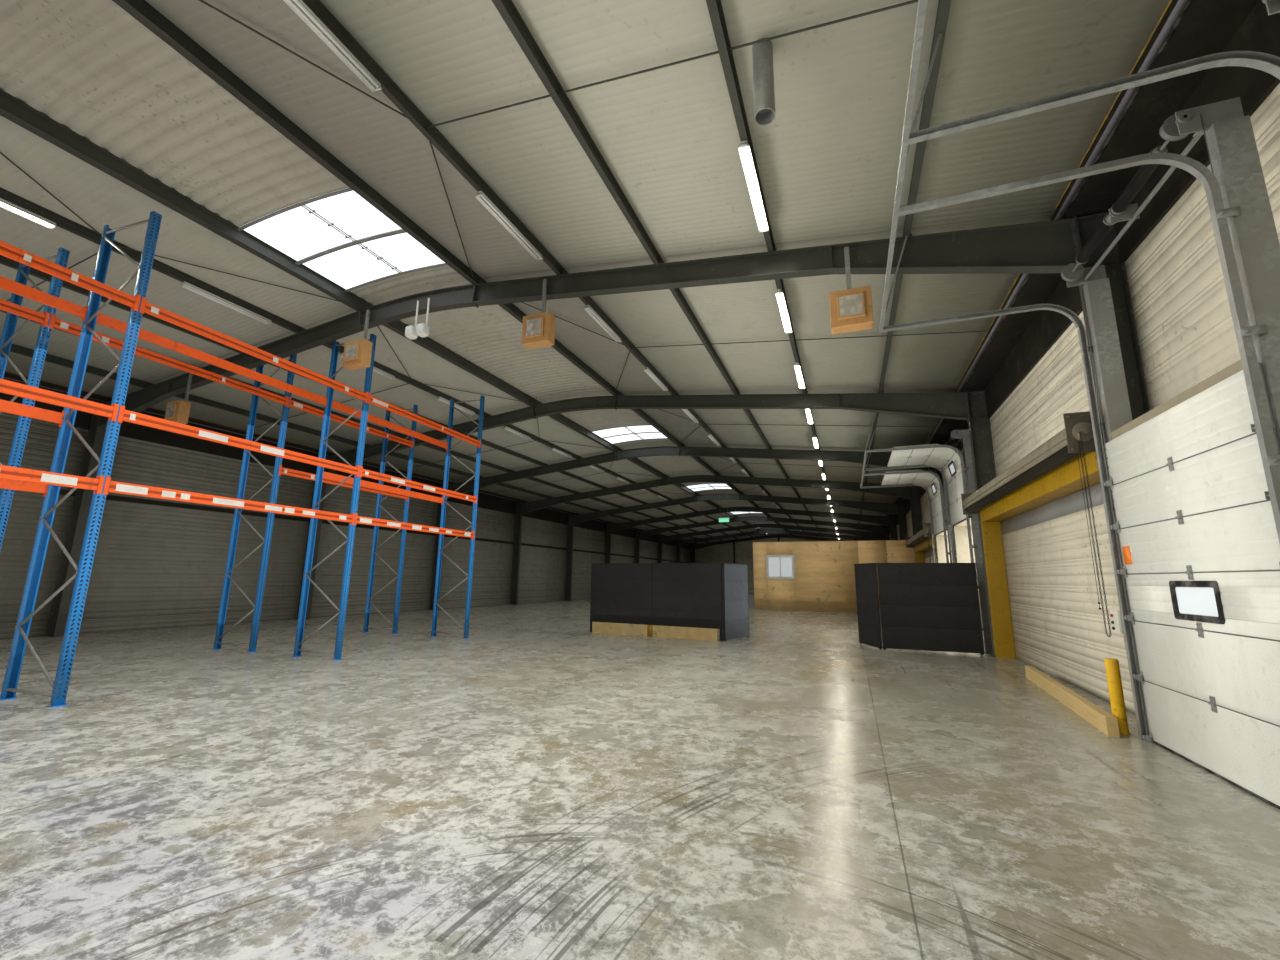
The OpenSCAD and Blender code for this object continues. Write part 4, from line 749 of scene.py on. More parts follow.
def finishes():
    """The maker of each finish, by name."""
    c = bpy.context.scene.hall_colours
    of = {k: tuple(getattr(c, k)) for k in HallColours.__annotations__}
    return {
        "worn_concrete": lambda n: concrete(n, of["concrete"]),
        "steel_paint": lambda n: painted(n, of["steel"], 0.5, 0.05, 1.1, specks=0.2, soil=DUST, bump=0.0005),
        "purlin_paint": lambda n: painted(n, darker(of["steel"], 0.92), 0.5, 0.04, 1.6, specks=0.2, soil=DUST),
        "ceiling_sheet": lambda n: painted(n, of["ceiling"], 0.5, 0.12, 0.5, runs=0.04, specks=0.2, bump=0),
        "crown_sheet": lambda n: painted(n, of["crown"], 0.5, 0.24, 0.8, specks=0.4, bump=0),
        "cream_sheet": lambda n: painted(n, of["cream"], 0.42, 0.22, 0.9, runs=0.10, specks=0.5, bands=0.4,
                                         bump=0),
        # Darker copy of the cream sheet for the shutters' infill: painted shade
        "infill_sheet": lambda n: painted(n, darker(of["cream"], 0.82), 0.42, 0.22, 0.9, specks=0.4,
                                          bands=0.35, bump=0),
        "greyed_sheet": lambda n: painted(n, of["greyed"], 0.5, 0.25, 0.9, runs=0.12, specks=0.3, bump=0),
        "outer_sheet": lambda n: painted(n, of["outside"], 0.42, 0.2, 0.7, runs=0.22, specks=0.2, bump=0),
        "door_paint": lambda n: painted(n, of["door"], 0.36, 0.10, 1.2, runs=0.05, specks=0.12, bump=0.0007,
                                        grain=120.0),
        "zinc": lambda n: galvanised(n, of["zinc"]),
        "chipped_yellow": lambda n: painted(n, of["yellow"], 0.5, 0.25, 2.2, runs=0.2, specks=0.6, scuffs=0.4),
        "heater_board": lambda n: painted(n, of["heater"], 0.55, 0.25, 3.0, specks=0.2),
        "plywood": lambda n: wooden(n, of["plywood"], (0.6, 4.0, 5.0)),
        "post_yellow": lambda n: painted(n, shade(216, 168, 4), 0.5, 0.25, 4.0, specks=0.5, scuffs=0.4),
        "sawn_timber": lambda n: wooden(n, of["timber"], (0.5, 6.0, 6.0)),
        "stud_timber": lambda n: wooden(n, of["timber"], (6.0, 6.0, 0.5)),
        "rack_blue": lambda n: painted(n, of["blue"], 0.4, 0.2, 3.0, specks=0.3, scuffs=0.25,
                                       under=shade(120, 126, 134)),
        "beam_orange": lambda n: painted(n, of["orange"], 0.42, 0.2, 3.0, specks=0.3, scuffs=0.25,
                                         under=shade(120, 70, 50)),
        # Darker orange in the beams' groove: painted shade in the recess
        "beam_groove": lambda n: painted(n, darker(of["orange"], 0.42), 0.5, 0.2, 3.0),
        "flange_grey": lambda n: painted(n, shade(108, 106, 112), 0.5, 0.2, 3.0),
        "kerb_timber": lambda n: wooden(n, shade(190, 164, 108), (6.0, 0.5, 6.0)),
        "box_cream": lambda n: painted(n, shade(206, 206, 186), 0.4, 0.2, 6.0),
        "paper_label": lambda n: painted(n, shade(222, 218, 208), 0.6, 0.2, 9.0),
        "dark_cloth": lambda n: painted(n, of["cloth"], 0.6, 0.2, 2.0, grain=300.0, bump=0.0006),
        # Lighter copy of the dark cloth for the wing screen: painted light
        "screen_wing": lambda n: painted(n, shade(80, 86, 94), 0.5, 0.2, 2.0, grain=300.0, bump=0.0006),
        "joint_grey": lambda n: painted(n, shade(98, 98, 94), 0.6, 0.3, 6.0),
        "lining_taupe": lambda n: painted(n, shade(140, 131, 108), 0.5, 0.2, 1.5, runs=0.1),
        "black_paint": lambda n: painted(n, of["black"], 0.4, 0.3, 4.0),
        # Black rubber for seals, bezels and buttons; also the painted shade in the rack holes and the gutter
        # gap
        "black_rubber": lambda n: rubber(n, of["black"]),
        "white_enamel": lambda n: painted(n, of["white"], 0.35, 0.14, 2.0, specks=0.1),
        "hood_paint": lambda n: painted(n, shade(110, 103, 84), 0.45, 0.3, 1.6, runs=0.2, specks=0.5),
        "plate_paint": lambda n: painted(n, shade(82, 75, 60), 0.5, 0.35, 5.0, runs=0.3, specks=0.6),
        # Near-black paint, partly painted shade: on gutters, rails and trims it is darkened for the shade under
        # the eaves; on the shutters' rolled slats it is painted shade only
        "band_paint": lambda n: painted(n, shade(24, 24, 19), 0.65, 0.3, 1.2, runs=0.2, specks=0.2),
        "lit_tube": lambda n: glowing(n, shade(255, 252, 238), shade(255, 248, 226), 9.0, mirrored=14.0),
        # Rooflights and door windows glow with painted daylight, with no lamp in them
        "sky_sheet": lambda n: glowing(n, shade(240, 244, 246), shade(238, 244, 250), 1.3, 90.0),
        "daylit_pane": lambda n: glowing(n, shade(190, 197, 199), shade(240, 246, 248), 0.34),
        "sign_glow": lambda n: glowing(n, shade(150, 220, 190), shade(120, 225, 180), 0.8),
        "foil": foil,
        "sealant": lambda n: painted(n, shade(140, 114, 46), 0.7, 0.4, 14.0, bump=0.002, grain=40.0),
        "orange_tag": lambda n: painted(n, shade(226, 120, 30), 0.4, 0.1, 5.0),
        "red_plastic": lambda n: painted(n, shade(176, 30, 26), 0.35, 0.1, 8.0),
        "bolt_zinc": lambda n: galvanised(n, darker(of["zinc"], 0.8), 0.4, 120.0),
    }


def material(name):
    """The finish of that name, made at its first use."""
    label = "hall_" + name
    return bpy.data.materials.get(label) or finishes()[name](label)


# Pieces


def rafter_top(x):
    """Height of the rafters' top edge over x."""
    return CROWN_Z - (abs(x) - CROWN_HALF) * math.tan(SLOPE)


def slope_point(u, h=0.0):
    """Point of the cross-section at u down the right slope and h off it."""
    return np.array([CROWN_HALF, 0.0, CROWN_Z]) + u * DOWN_SLOPE + h * OFF_SLOPE


WALL_KNOTS = [(0, 0.008), (0.003, 0), (0.0685, 0), (0.0705, 0.0035), (0.0725, 0), (0.134, 0), (0.136, 0.0045),
              (0.138, 0), (0.161, 0), (0.163, 0.003), (0.166, -0.002), (0.182, -0.002), (0.185, 0.008)]
WALL_PHASE = SLAB + 2.0545
OUTER_KNOTS = [(0, 0), (0.045, 0), (0.055, 0.006), (0.085, 0.006)]
OUTER_PERIOD = 0.094


def wall_outline(z0, z1, inner=INNER_X, outer=OUTER_X):
    """Section of a wall sheet: grooved inner face up, ribbed outer face down."""
    period = bpy.context.scene.hall_sizes.wall_period
    inside = ribs(z0, z1, period, WALL_KNOTS, WALL_PHASE)
    outside = ribs(z0, z1, OUTER_PERIOD, OUTER_KNOTS)[::-1]
    return np.concatenate([
        np.column_stack([inner + inside[:, 1], inside[:, 0]]),
        np.column_stack([outer + outside[:, 1], outside[:, 0]]),
    ])


def bay_ends(i, gap=0.0015):
    """Ends of the wall sheets of bay i."""
    return (-GABLE_Y if i == 0 else FRAMES[i] + gap), (GABLE_Y if i == BAYS - 1 else FRAMES[i + 1] - gap)


def make_walls():
    """Grooved wall sheets from frame to frame, left out at the doorways."""
    full = wall_outline(SLAB, WALL_TOP)
    left = stack(*[along_y(full, *bay_ends(i)) for i in range(BAYS)])
    build("left_wall_sheets", [(mirrored(left), "greyed_sheet")], ["left_wall"])
    plain = [i for i in range(BAYS) if i not in DOCK_BAYS + SHUTTER_BAYS]
    right = stack(*[along_y(full, *bay_ends(i)) for i in plain])
    build("right_wall_sheets", [(right, "cream_sheet")], ["right_wall"])
    above = wall_outline(SLAB + RAISED, WALL_TOP)
    beside = wall_outline(SLAB, SLAB + RAISED - 0.003)
    over = wall_outline(SLAB + SHUTTER_H, WALL_TOP)
    parts = []
    for i in DOCK_BAYS:
        ends = bay_ends(i)
        edges = [ends[0], *[FRAMES[i] + d + s * DOOR_HALF for d in DOOR_AT for s in (-1, 1)], ends[1]]
        parts.append(along_y(above, *ends))
        parts += [along_y(beside, edges[k], edges[k + 1]) for k in (0, 2, 4)]
    parts += [along_y(over, *bay_ends(i)) for i in SHUTTER_BAYS]
    build("door_bay_sheets", [(stack(*parts), "cream_sheet")], ["door_bay_walls"])
    make_gables()


def make_gables():
    """Planks on both faces of the gables, each as long as the roof line lets it be."""
    period = bpy.context.scene.hall_sizes.wall_period
    rows = np.arange(SLAB, SLAB + 3.2, period)
    outline = np.array([(0, 0), (0.002, 0.004), (0.006, 0.006),
                        (period - 0.006, 0.006), (period - 0.002, 0.004), (period, 0)])
    parts = []
    for z in rows:
        high = z + period
        reach = INNER_X if high < rafter_top(INNER_X) else CROWN_HALF + (CROWN_Z - high) / math.tan(SLOPE)
        if reach < 0.3:
            continue
        for side in (-1, 1):
            for face, out in ((GABLE_Y, -side), (OUTER_Y, side)):
                w = min(reach, INNER_X) if face == GABLE_Y else min(reach + 0.5, OUTER_X)
                parts.append(prism(outline, [-w, side * face, z], [w, side * face, z], Z, Y * out))
    build("gable_planks", [(stack(*parts), "cream_sheet")])
    dress("cream_sheet", "near_gable_wall", "far_gable_wall")


def roof_ends(i):
    """Ends of the roof panels of bay i."""
    start = -OUTER_Y if i == 0 else FRAMES[i] + ROOF_JOINT
    return start, (OUTER_Y if i == BAYS - 1 else FRAMES[i + 1] - ROOF_JOINT)


def make_roof():
    """Ceiling and roof in one section along the hall: fine ribs below, broad ribs above."""
    sizes = bpy.context.scene.hall_sizes
    parts = []
    for i in range(BAYS):
        y0, y1 = roof_ends(i)
        low = ribs(y0, y1, sizes.ceiling_pitch,
                   [(0, 0), (0.020, 0), (0.022, 0.0006), (0.028, 0.0006), (0.030, 0)])
        high = ribs(y0, y1, sizes.roof_pitch,
                    [(0, 0), (0.085, 0), (0.095, 0.012), (0.110, 0.012), (0.120, 0)])[::-1]
        outline = np.concatenate([np.column_stack([low[:, 0], PURLIN_D + low[:, 1]]),
                                  np.column_stack([high[:, 0], PURLIN_D + ROOF_T + high[:, 1]])])
        parts.append(prism(outline, slope_point(PANEL_START), slope_point(PANEL_END), Y, OFF_SLOPE))
    right = stack(*parts)
    build("right_ceiling_sheets", [(right, "ceiling_sheet")], ["right_roof_panels"])
    build("left_ceiling_sheets", [(mirrored(right), "ceiling_sheet")], ["left_roof_panels"])


def crown_rows(outline, steps=10, lap=0.075):
    """Outline (y, h) over the crown: h is added to the arc's radius, with a straight lap on both sides."""
    a = np.linspace(-SLOPE, SLOPE, steps + 1)
    out = np.column_stack([np.sin(a), np.zeros_like(a), np.cos(a)])
    at = np.array([0, 0, ARC_Z]) + CROWN_R * out
    first = at[0] - lap * np.array([math.cos(SLOPE), 0, math.sin(SLOPE)])
    last = at[-1] + lap * DOWN_SLOPE
    at = np.concatenate([[first], at, [last]])
    out = np.concatenate([[out[0]], out, [out[-1]]])
    o = np.asarray(outline)
    return loft(at[:, None] + out[:, None] * o[None, :, 1:] + Y * o[None, :, :1])


def crown_outline(y0, y1, low, high, depth, pitch):
    """Section along the hall of a ribbed crown sheet: ribs rise from its low face and from its top."""
    wave = np.array([(0, 0), (0.030, 0), (0.042, 1), (0.065, 1), (0.077, 0)]) * [pitch / 0.095, 1]
    under = ribs(y0, y1, pitch, wave * [1, depth])
    over = ribs(y0, y1, pitch, wave * [1, 0.010])[::-1]
    return np.concatenate([np.column_stack([under[:, 0], low + under[:, 1]]),
                           np.column_stack([over[:, 0], high + over[:, 1]])])


def rooflight_ends(i):
    """Ends of the rooflight of bay i."""
    return FRAMES[i + 1] - 1.2, FRAMES[i + 1] - 0.2


def make_crown():
    """Ribbed crown sheets, and in every second bay the rooflight with its bars and clips."""
    sizes = bpy.context.scene.hall_sizes
    spans = []
    for i in range(BAYS):
        y0, y1 = roof_ends(i)
        if i in ROOFLIGHTS:
            a, b = rooflight_ends(i)
            spans += [(y0, a - 0.002), (b + 0.002, y1)]
        else:
            spans.append((y0, y1))
    low, high = CROWN_PURLIN_D, CROWN_PURLIN_D + ROOF_T
    sheets = [crown_rows(crown_outline(a, b, low, high, sizes.crown_depth, sizes.crown_pitch))
              for a, b in spans]
    build("crown_ribbed_sheets", [(stack(*sheets), "crown_sheet")], ["crown_sheets"])
    panes, bars = [], []
    for i in ROOFLIGHTS:
        a, b = rooflight_ends(i)
        panes.append(crown_rows(crown_outline(a, b, low, low + 0.024, 0.005, 0.047)))
        mid = (a + b) / 2
        for y, w, h in ((mid, 0.018, 0.012), (a + 0.012, 0.012, 0.008), (b - 0.012, 0.012, 0.008)):
            bars.append(crown_rows([(y - w, low - h), (y + w, low - h), (y + w, low + 0.001),
                                    (y - w, low + 0.001)]))
        top = ARC_Z + CROWN_R + low
        for x in (-0.012, 0.012):
            bars.append(boxes([(x - 0.003, x + 0.003, a, b, top - 0.008, top)]))
        clips = [(0.02 * s - 0.01, 0.02 * s + 0.01, y - 0.006, y + 0.006, top - 0.012, top)
                 for y in np.linspace(a + 0.1, b - 0.1, 6) for s in (-1, 1)]
        bars.append(boxes(clips))
    # Rooflight sheets glow: painted daylight
    build("rooflight_sheets", [(stack(*panes), "sky_sheet")], ["rooflights"])
    build("rooflight_bars", [(stack(*bars), "zinc")])


# Bolts across a frame, and down its splices and knees; the end plates' thickness
BOLTS_ACROSS = (-0.026, 0.026)
SPLICE_BOLTS = (0.028, 0.068, 0.108, 0.148)
KNEE_BOLTS = (0.035, 0.085, 0.17, 0.235, 0.29)
END_PLATE = 0.009


def make_steel():
    """Finishes of the CAD frame, its bolts and the purlin cleats."""
    sizes = bpy.context.scene.hall_sizes
    dress("steel_paint", "right_columns", "left_columns", "right_rafters", "left_rafters", "crown_arches",
          "gable_posts")
    dress("purlin_paint", "right_purlins", "left_purlins", "crown_purlins", "sag_rods")
    # Gutters, rails and trims: dark paint, darkened further as painted shade under the eaves
    dress("band_paint", "eaves_gutters", "wall_rails", "verge_trims")
    dress("zinc", "downpipes")
    head = bolt(sizes.bolt_r)
    bolt_rows = [(y, s) for y in FRAMES for s in BOLTS_ACROSS]
    splice = []
    for sign in (-1, 1):
        at = [slope_point(sign * END_PLATE, -h) + Y * (y + s) for y, s in bolt_rows for h in SPLICE_BOLTS]
        splice.append(copies(head, axis_places(at, sign * DOWN_SLOPE)))
    top = rafter_top(COLUMN_X)
    knees = np.array([(COLUMN_X - END_PLATE, y + s, top - h) for y, s in bolt_rows for h in KNEE_BOLTS])
    behind = knees + [END_PLATE + 0.007, 0, 0]
    feet = [(COLUMN_X + x, y + s, SLAB + END_PLATE) for y, s in bolt_rows for x in (0.05, 0.135)]
    right = stack(*splice, copies(head, axis_places(knees, -X)), copies(head, axis_places(behind, X)),
                  copies(bolt(sizes.bolt_r * 1.4), axis_places(feet, Z)))
    build("frame_bolts", [(both_sides(right), "steel_paint")])
    plate = stack(boxes([(0, 0.005, -0.024, 0.024, 0, 0.062)]), boxes([(0.005, 0.03, -0.024, 0.024, 0, 0.005)]))
    axes = (DOWN_SLOPE, Y, OFF_SLOPE)
    at = [slope_point(k * PURLIN_STEP + 0.0195) + Y * y for y in FRAMES for k in range(1, 5)]
    crown = [slope_point(0.0315) + Y * y for y in FRAMES]
    studs = [slope_point(k * PURLIN_STEP + 0.0245, h) + Y * (y + s) for y in FRAMES for k in range(1, 5)
             for h, s in ((0.025, -0.012), (0.045, 0.012))]
    cleats = stack(copies(plate, places(at, *axes)), copies(plate, places(crown, *axes)),
                   copies(bolt(0.005), axis_places(studs, DOWN_SLOPE)))
    build("purlin_cleats", [(both_sides(cleats), "purlin_paint")])
    make_eaves()


def make_eaves():
    """Wavy sealant bead along the ceiling's edge and, under the gutter, a grey flange strip and a black strip
    of painted shadow in the gap, from frame to frame.

    The bead's path is x0 + w, y, z0 + w with w a sum of two sines of y, and its radius grows with w.
    """
    edge = INNER_X - GUTTER_W
    eaves = rafter_top(edge)
    beads, flanges, gaps = [], [], []
    for a, b in zip(FRAMES[:-1] + 0.043, FRAMES[1:] - 0.043):
        y = np.linspace(a, b, 90)
        w = 0.0012 * np.sin(y * 37.0) + 0.0008 * np.sin(y * 91.0 + 1.3)
        beads.append(tube(np.column_stack([edge - 0.005 + w, y, eaves + 0.070 + w]), 0.0042 + 0.8 * w, 6, Z))
        flanges.append([edge - 0.020, edge + 0.012, a, b, eaves - 0.003, eaves + 0.003])
        # Black strip in the gap over the flange: painted shadow
        gaps.append([edge + 0.0125, edge + 0.030, a, b, eaves - 0.0015, eaves + 0.001])
    build("sealant_beads", [(both_sides(stack(*beads)), "sealant")])
    build("gutter_flanges", [(both_sides(boxes(flanges)), "flange_grey"),
                             (both_sides(boxes(gaps)), "black_rubber")])


def door_point(s, inside=0.0):
    """Point of the leaf's inner face at run s: up the wall, round the curve and in under the ceiling."""
    r = TRACK_R + LEAF_X - TRACK_X
    arc = r * math.pi / 2
    if s <= TRACK_CURVE_Z:
        return np.array([LEAF_X - inside, SLAB + s])
    if s <= TRACK_CURVE_Z + arc:
        a = (s - TRACK_CURVE_Z) / r
        return np.array([LEAF_X - r + (r - inside) * math.cos(a),
                         SLAB + TRACK_CURVE_Z + (r - inside) * math.sin(a)])
    return np.array([LEAF_X - r - (s - TRACK_CURVE_Z - arc), SLAB + TRACK_CURVE_Z + r - inside])


def hinge_runs(start):
    """Runs of the hinge lines: each lies one section's straight length from the last, found by halving."""
    runs = [start]
    for h in SECTIONS:
        low, high = runs[-1], runs[-1] + 1.5 * h
        for _ in range(30):
            mid = (low + high) / 2
            short = np.linalg.norm(door_point(mid) - door_point(runs[-1])) < h
            low, high = (mid, high) if short else (low, mid)
        runs.append((low + high) / 2)
    return runs


def section_places(start):
    """Each section's place on the door's middle line: x through the leaf, y along the wall, z up it."""
    runs = hinge_runs(start)
    rows = []
    for a, b in zip(runs[:-1], runs[1:]):
        p, q = door_point(a), door_point(b)
        up = (q - p) / np.linalg.norm(q - p)
        rows.append([[p[0], 0, p[1]], [up[1], 0, -up[0]], [0, 1, 0], [up[0], 0, up[1]]])
    return np.array(rows)


def section_outline(h0, h1, ribbed):
    """Door panel between two heights: chamfered ends, ribbed or plain inside, lined outside."""
    pitch = bpy.context.scene.hall_sizes.door_rib_pitch
    groove = [(0, 0.0030), (0.006, 0.0004), (0.010, 0), (pitch - 0.010, 0), (pitch - 0.006, 0.0004)]
    knots = groove if ribbed else [(0, 0), (pitch / 2, 0)]
    inside = ribs(h0 + 0.002, h1 - 0.002, pitch, knots)
    outside = ribs(h0 + 0.002, h1 - 0.002, pitch, [(0, 0.0016), (0.003, 0), (pitch - 0.003, 0)])[::-1]
    return np.concatenate([
        [(0.002, h0 + DOOR_GAP)],
        np.column_stack([inside[:, 1], inside[:, 0]]),
        [(0.002, h1 - DOOR_GAP), (LEAF_T - 0.002, h1 - DOOR_GAP)],
        np.column_stack([LEAF_T - outside[:, 1], outside[:, 0]]),
        [(LEAF_T - 0.002, h0 + DOOR_GAP)],
    ])


WINDOW_W = 0.290
WINDOW_H = 0.120


def leaf_shapes():
    """Panels of one leaf in their own places: three plain or ribbed kinds and the one with the window."""
    half = LEAF_W / 2

    def panel(h0, h1, y0, y1, ribbed):
        return prism(section_outline(h0, h1, ribbed), Y * y0, Y * y1, X, Z)

    tall, short = SECTIONS[0], SECTIONS[-1]
    low, high = (short - WINDOW_H) / 2, (short + WINDOW_H) / 2
    window = stack(panel(0, low, -half, half, True), panel(high, short, -half, half, True),
                   panel(low, high, -half, -WINDOW_W / 2, True), panel(low, high, WINDOW_W / 2, half, True))
    return [panel(0, tall, -half, half, False)] * 2 + [window] + [panel(0, short, -half, half, True)] * 3


def hinge_shape():
    """Hinge across a joint: two leaves, a knuckle and four screw heads; x points into the hall."""
    leaves = boxes([(0, 0.003, -0.016, 0.016, 0.004, 0.030), (0, 0.003, -0.016, 0.016, -0.030, -0.004)])
    knuckle = rod([0.005, -0.017, 0], [0.005, 0.017, 0], 0.006, 12, Z)
    screws = [(0.003, y, z) for y in (-0.009, 0.009) for z in (-0.021, 0.021)]
    return stack(leaves, knuckle, copies(lathe([(0.004, 0), (0.003, 0.003)], 8), axis_places(screws, X)))


def carrier_shape():
    """Roller carrier at a leaf's edge: bracket, stem and wheel; x points into the hall, y outwards."""
    bracket = boxes([(0, 0.003, -0.030, 0.0, -0.030, 0.030), (0, 0.024, -0.030, -0.027, -0.014, 0.014),
                     (0, 0.024, -0.006, -0.003, -0.014, 0.014)])
    stem = rod([0.018, -0.034, 0], [0.018, 0.020, 0], 0.0035, 10, Z)
    wheel = copies(lathe([(0.004, 0), (0.0100, 0.001), (0.0100, 0.009), (0.004, 0.010)], 20),
                   axis_places([(0.018, 0.006, 0)], Y))
    return stack(bracket, stem), wheel


def bezel_shape():
    """Window frame of a leaf: a rounded ring that goes over into its hole, drawn as rows of growing depth."""
    ring = rounded(WINDOW_W + 0.044, WINDOW_H + 0.044, 0.014)
    hole = rounded(WINDOW_W - 0.008, WINDOW_H - 0.008, 0.010)
    depths = [0.0, -0.004, -0.0065, -0.0065, -0.003, 0.012]
    fills = [0, 0, 0.25, 0.8, 1, 1]
    rows = [np.column_stack([np.full(len(ring), d), ring + (hole - ring) * k]) for d, k in zip(depths, fills)]
    return loft(np.stack(rows), caps=False)


def door_seal():
    """Rubber under a leaf and the joint line on its edge."""
    half = LEAF_W / 2
    seal = prism([(0.001, 0), (0.019, 0), (0.019, 0.010), (0.001, 0.010)], -Y * (half + 0.001),
                 Y * (half + 0.001), X, Z)
    return stack(seal, boxes([(-0.0008, 0.0205, -half - 0.0008, half + 0.0008, 0.0004, 0.012)]))


def make_doors():
    """Leaves of six sections along their tracks, with hinges, rollers, seals, window frame and tag."""
    panels, hinges, wheels, seals, frames, tags, strips = [], [], [], [], [], [], []
    shapes = leaf_shapes()
    carrier, wheel = carrier_shape()
    bezel = bezel_shape()
    strip = boxes([(-0.0004, 0.003, -LEAF_W / 2, LEAF_W / 2, -0.0026, 0.0026)])
    tag = prism(rounded(0.075, 0.090, 0.005), [-0.0012, 0, 0], [0.0018, 0, 0], Y, Z)
    for bay, start in DOOR_STARTS:
        rows = section_places(start)
        for d in DOOR_AT:
            shift = np.zeros_like(rows)
            shift[:, 0, 1] = FRAMES[bay] + d
            at = rows + shift
            for k in range(len(SECTIONS)):
                panels.append(copies(shapes[k], at[k:k + 1]))
            middle = at[WINDOW_AT:WINDOW_AT + 1].copy()
            middle[:, 0] += middle[:, 3] * SECTIONS[WINDOW_AT] / 2
            frames.append(copies(bezel, middle))
            strips.append(copies(strip, at[1:]))
            joints = at[1:].copy()
            joints[:, 1] *= -1
            hinges.append(copies(hinge_shape(), joints))
            ends = at.copy()
            ends[:, 0] += ends[:, 3] * 0.012
            ends[:, 1] *= -1
            for side in (-1, 1):
                row = ends.copy()
                row[:, 0, 1] += side * LEAF_W / 2
                row[:, 2] *= side
                hinges.append(copies(carrier, row))
                wheels.append(copies(wheel, row))
            seals.append(copies(door_seal(), at[:1]))
            if start < RAISED:
                spot_at = at[3:4].copy()
                spot_at[:, 0] += [0, LEAF_W / 2 - 0.06, 0.094]
                tags.append(copies(tag, spot_at))
    build("door_panels", [(stack(*panels), "door_paint")],
          ["closed_dock_doors", "raised_dock_doors"])
    build("door_hinges", [(stack(*hinges), "zinc"), (stack(*wheels), "white_enamel")],
          smooth=35)
    build("door_seals", [(stack(*seals), "black_rubber"), (stack(*strips), "joint_grey")])
    build("door_window_bezels", [(stack(*frames), "black_rubber")], ["door_window_frames"],
          smooth=40)
    build("door_tags", [(stack(*tags), "orange_tag")])
    # Window panes glow: painted daylight
    dress("daylit_pane", "window_panes")
    dress("zinc", "dock_door_posts", "dock_door_tracks", "track_hangers")
    dress("lining_taupe", "dock_door_linings")
    make_track_fittings()


def make_track_fittings():
    """Brackets that hold the tracks to the posts, bolts in posts and hangers, and the lifting cables."""
    brackets, heads, cables = [], [], []
    for bay, start in DOOR_STARTS:
        bottom = door_point(start)[1]
        for d in DOOR_AT:
            for side in (-1, 1):
                y = FRAMES[bay] + d + side * (LEAF_W / 2 + 0.015)
                back = y + side * 0.013
                for z in SLAB + np.array(BRACKET_Z):
                    brackets.append([LEAF_X - 0.030, COLUMN_X + 0.001, *sorted((back, back + side * 0.004)),
                                     z - 0.016, z + 0.016])
                    brackets.append([COLUMN_X - 0.005, COLUMN_X + 0.001, *sorted((back, back - side * 0.030)),
                                     z - 0.016, z + 0.016])
                    heads.append([LEAF_X - 0.018, back + side * 0.004, z, side])
                cable_y = FRAMES[bay] + d + side * (LEAF_W / 2 - 0.006)
                cables.append(rod([LEAF_X - 0.004, cable_y, bottom + 0.02],
                                  [SHAFT_X + 0.047, cable_y, SHAFT_Z], 0.0018, 6))
    heads = np.array(heads)
    bolts = [copies(bolt(0.006), axis_places(heads[heads[:, 3] == s][:, :3], Y * s)) for s in (-1, 1)]
    build("track_brackets", [(stack(boxes(brackets), *bolts), "zinc")])
    build("lifting_cables", [(stack(*cables), "bolt_zinc")])


def spring_shape(long, radius, turns, wire):
    """Coil about Y: (radius cos a, y, radius sin a), with y growing evenly over all turns."""
    a = np.linspace(0, 2 * np.pi * turns, turns * 12 + 1)
    y = np.linspace(-long / 2, long / 2, len(a))
    return tube(np.column_stack([radius * np.cos(a), y, radius * np.sin(a)]), wire, 5, Y)


def make_springs():
    sizes = bpy.context.scene.hall_sizes
    half = DOOR_HALF + 0.025
    long = LEAF_W / 3
    coil = spring_shape(long - 0.03, 0.0255, sizes.coils, sizes.wire_r)
    groove = np.column_stack([0.0475 - 0.0015 * (np.arange(9) % 2), np.linspace(-0.012, 0.012, 9)])
    drum = lathe([(0.012, -0.013), (0.05, -0.013), *groove, (0.05, 0.013), (0.012, 0.013)], 28)
    cone = lathe([(0.008, -0.022), (0.016, -0.022), (0.0235, -0.012), (0.0235, 0.0), (0.030, 0.002),
                  (0.030, 0.008), (0.008, 0.008)], 20)
    shaft = lathe([(0.0065, -half - 0.012), (0.0065, half + 0.012)], 14)
    bearing = lathe([(0.008, -0.012), (0.02, -0.012), (0.02, 0.012), (0.008, 0.012)], 20)
    coils, silver, plates = [], [], []
    for bay in DOCK_BAYS:
        for d in DOOR_AT:
            at = np.array([SHAFT_X, FRAMES[bay] + d, SHAFT_Z])
            silver.append(copies(shaft, places([at], *ALONG_Y)))
            silver.append(copies(drum, places([at - Y * (half - 0.04), at + Y * (half - 0.04)], *ALONG_Y)))
            silver.append(copies(bearing, places([at, at - Y * half, at + Y * half], *ALONG_Y)))
            for side in (-1, 1):
                mid = at + Y * side * (long / 2 + 0.022)
                coils.append(copies(coil, places([mid])))
                silver.append(copies(cone, places([mid + Y * (long / 2 - 0.016)], *ALONG_Y)))
                silver.append(copies(cone, places([mid - Y * (long / 2 - 0.016)], x=X, y=-Z, z=Y)))
            x0, y0, z0 = at
            top = SLAB + POST_H
            post_back = LEAF_X + LEAF_T + 0.1
            for side in (-1, 1):
                y = y0 + side * half
                plates.append([x0 - 0.020, post_back, y - 0.003, y + 0.003, top, z0 + 0.035])
                plates.append([x0 + 0.030, post_back, *sorted((y, y - side * 0.028)), top, top + 0.004])
            plates.append([x0 - 0.02, LEAF_X + LEAF_T + 0.024, y0 - 0.003, y0 + 0.003, z0 - 0.045, z0 + 0.030])
            plates.append([LEAF_X + LEAF_T, LEAF_X + LEAF_T + 0.004, y0 - half, y0 + half, z0 - 0.050,
                           z0 - 0.026])
            plates.append([LEAF_X + LEAF_T, LEAF_X + LEAF_T + 0.024, y0 - half, y0 + half, z0 - 0.030,
                           z0 - 0.026])
    build("torsion_springs", [(stack(*coils), "black_paint"), (stack(*silver), "bolt_zinc"),
                              (boxes(plates), "zinc")], ["spring_shafts"], smooth=35)


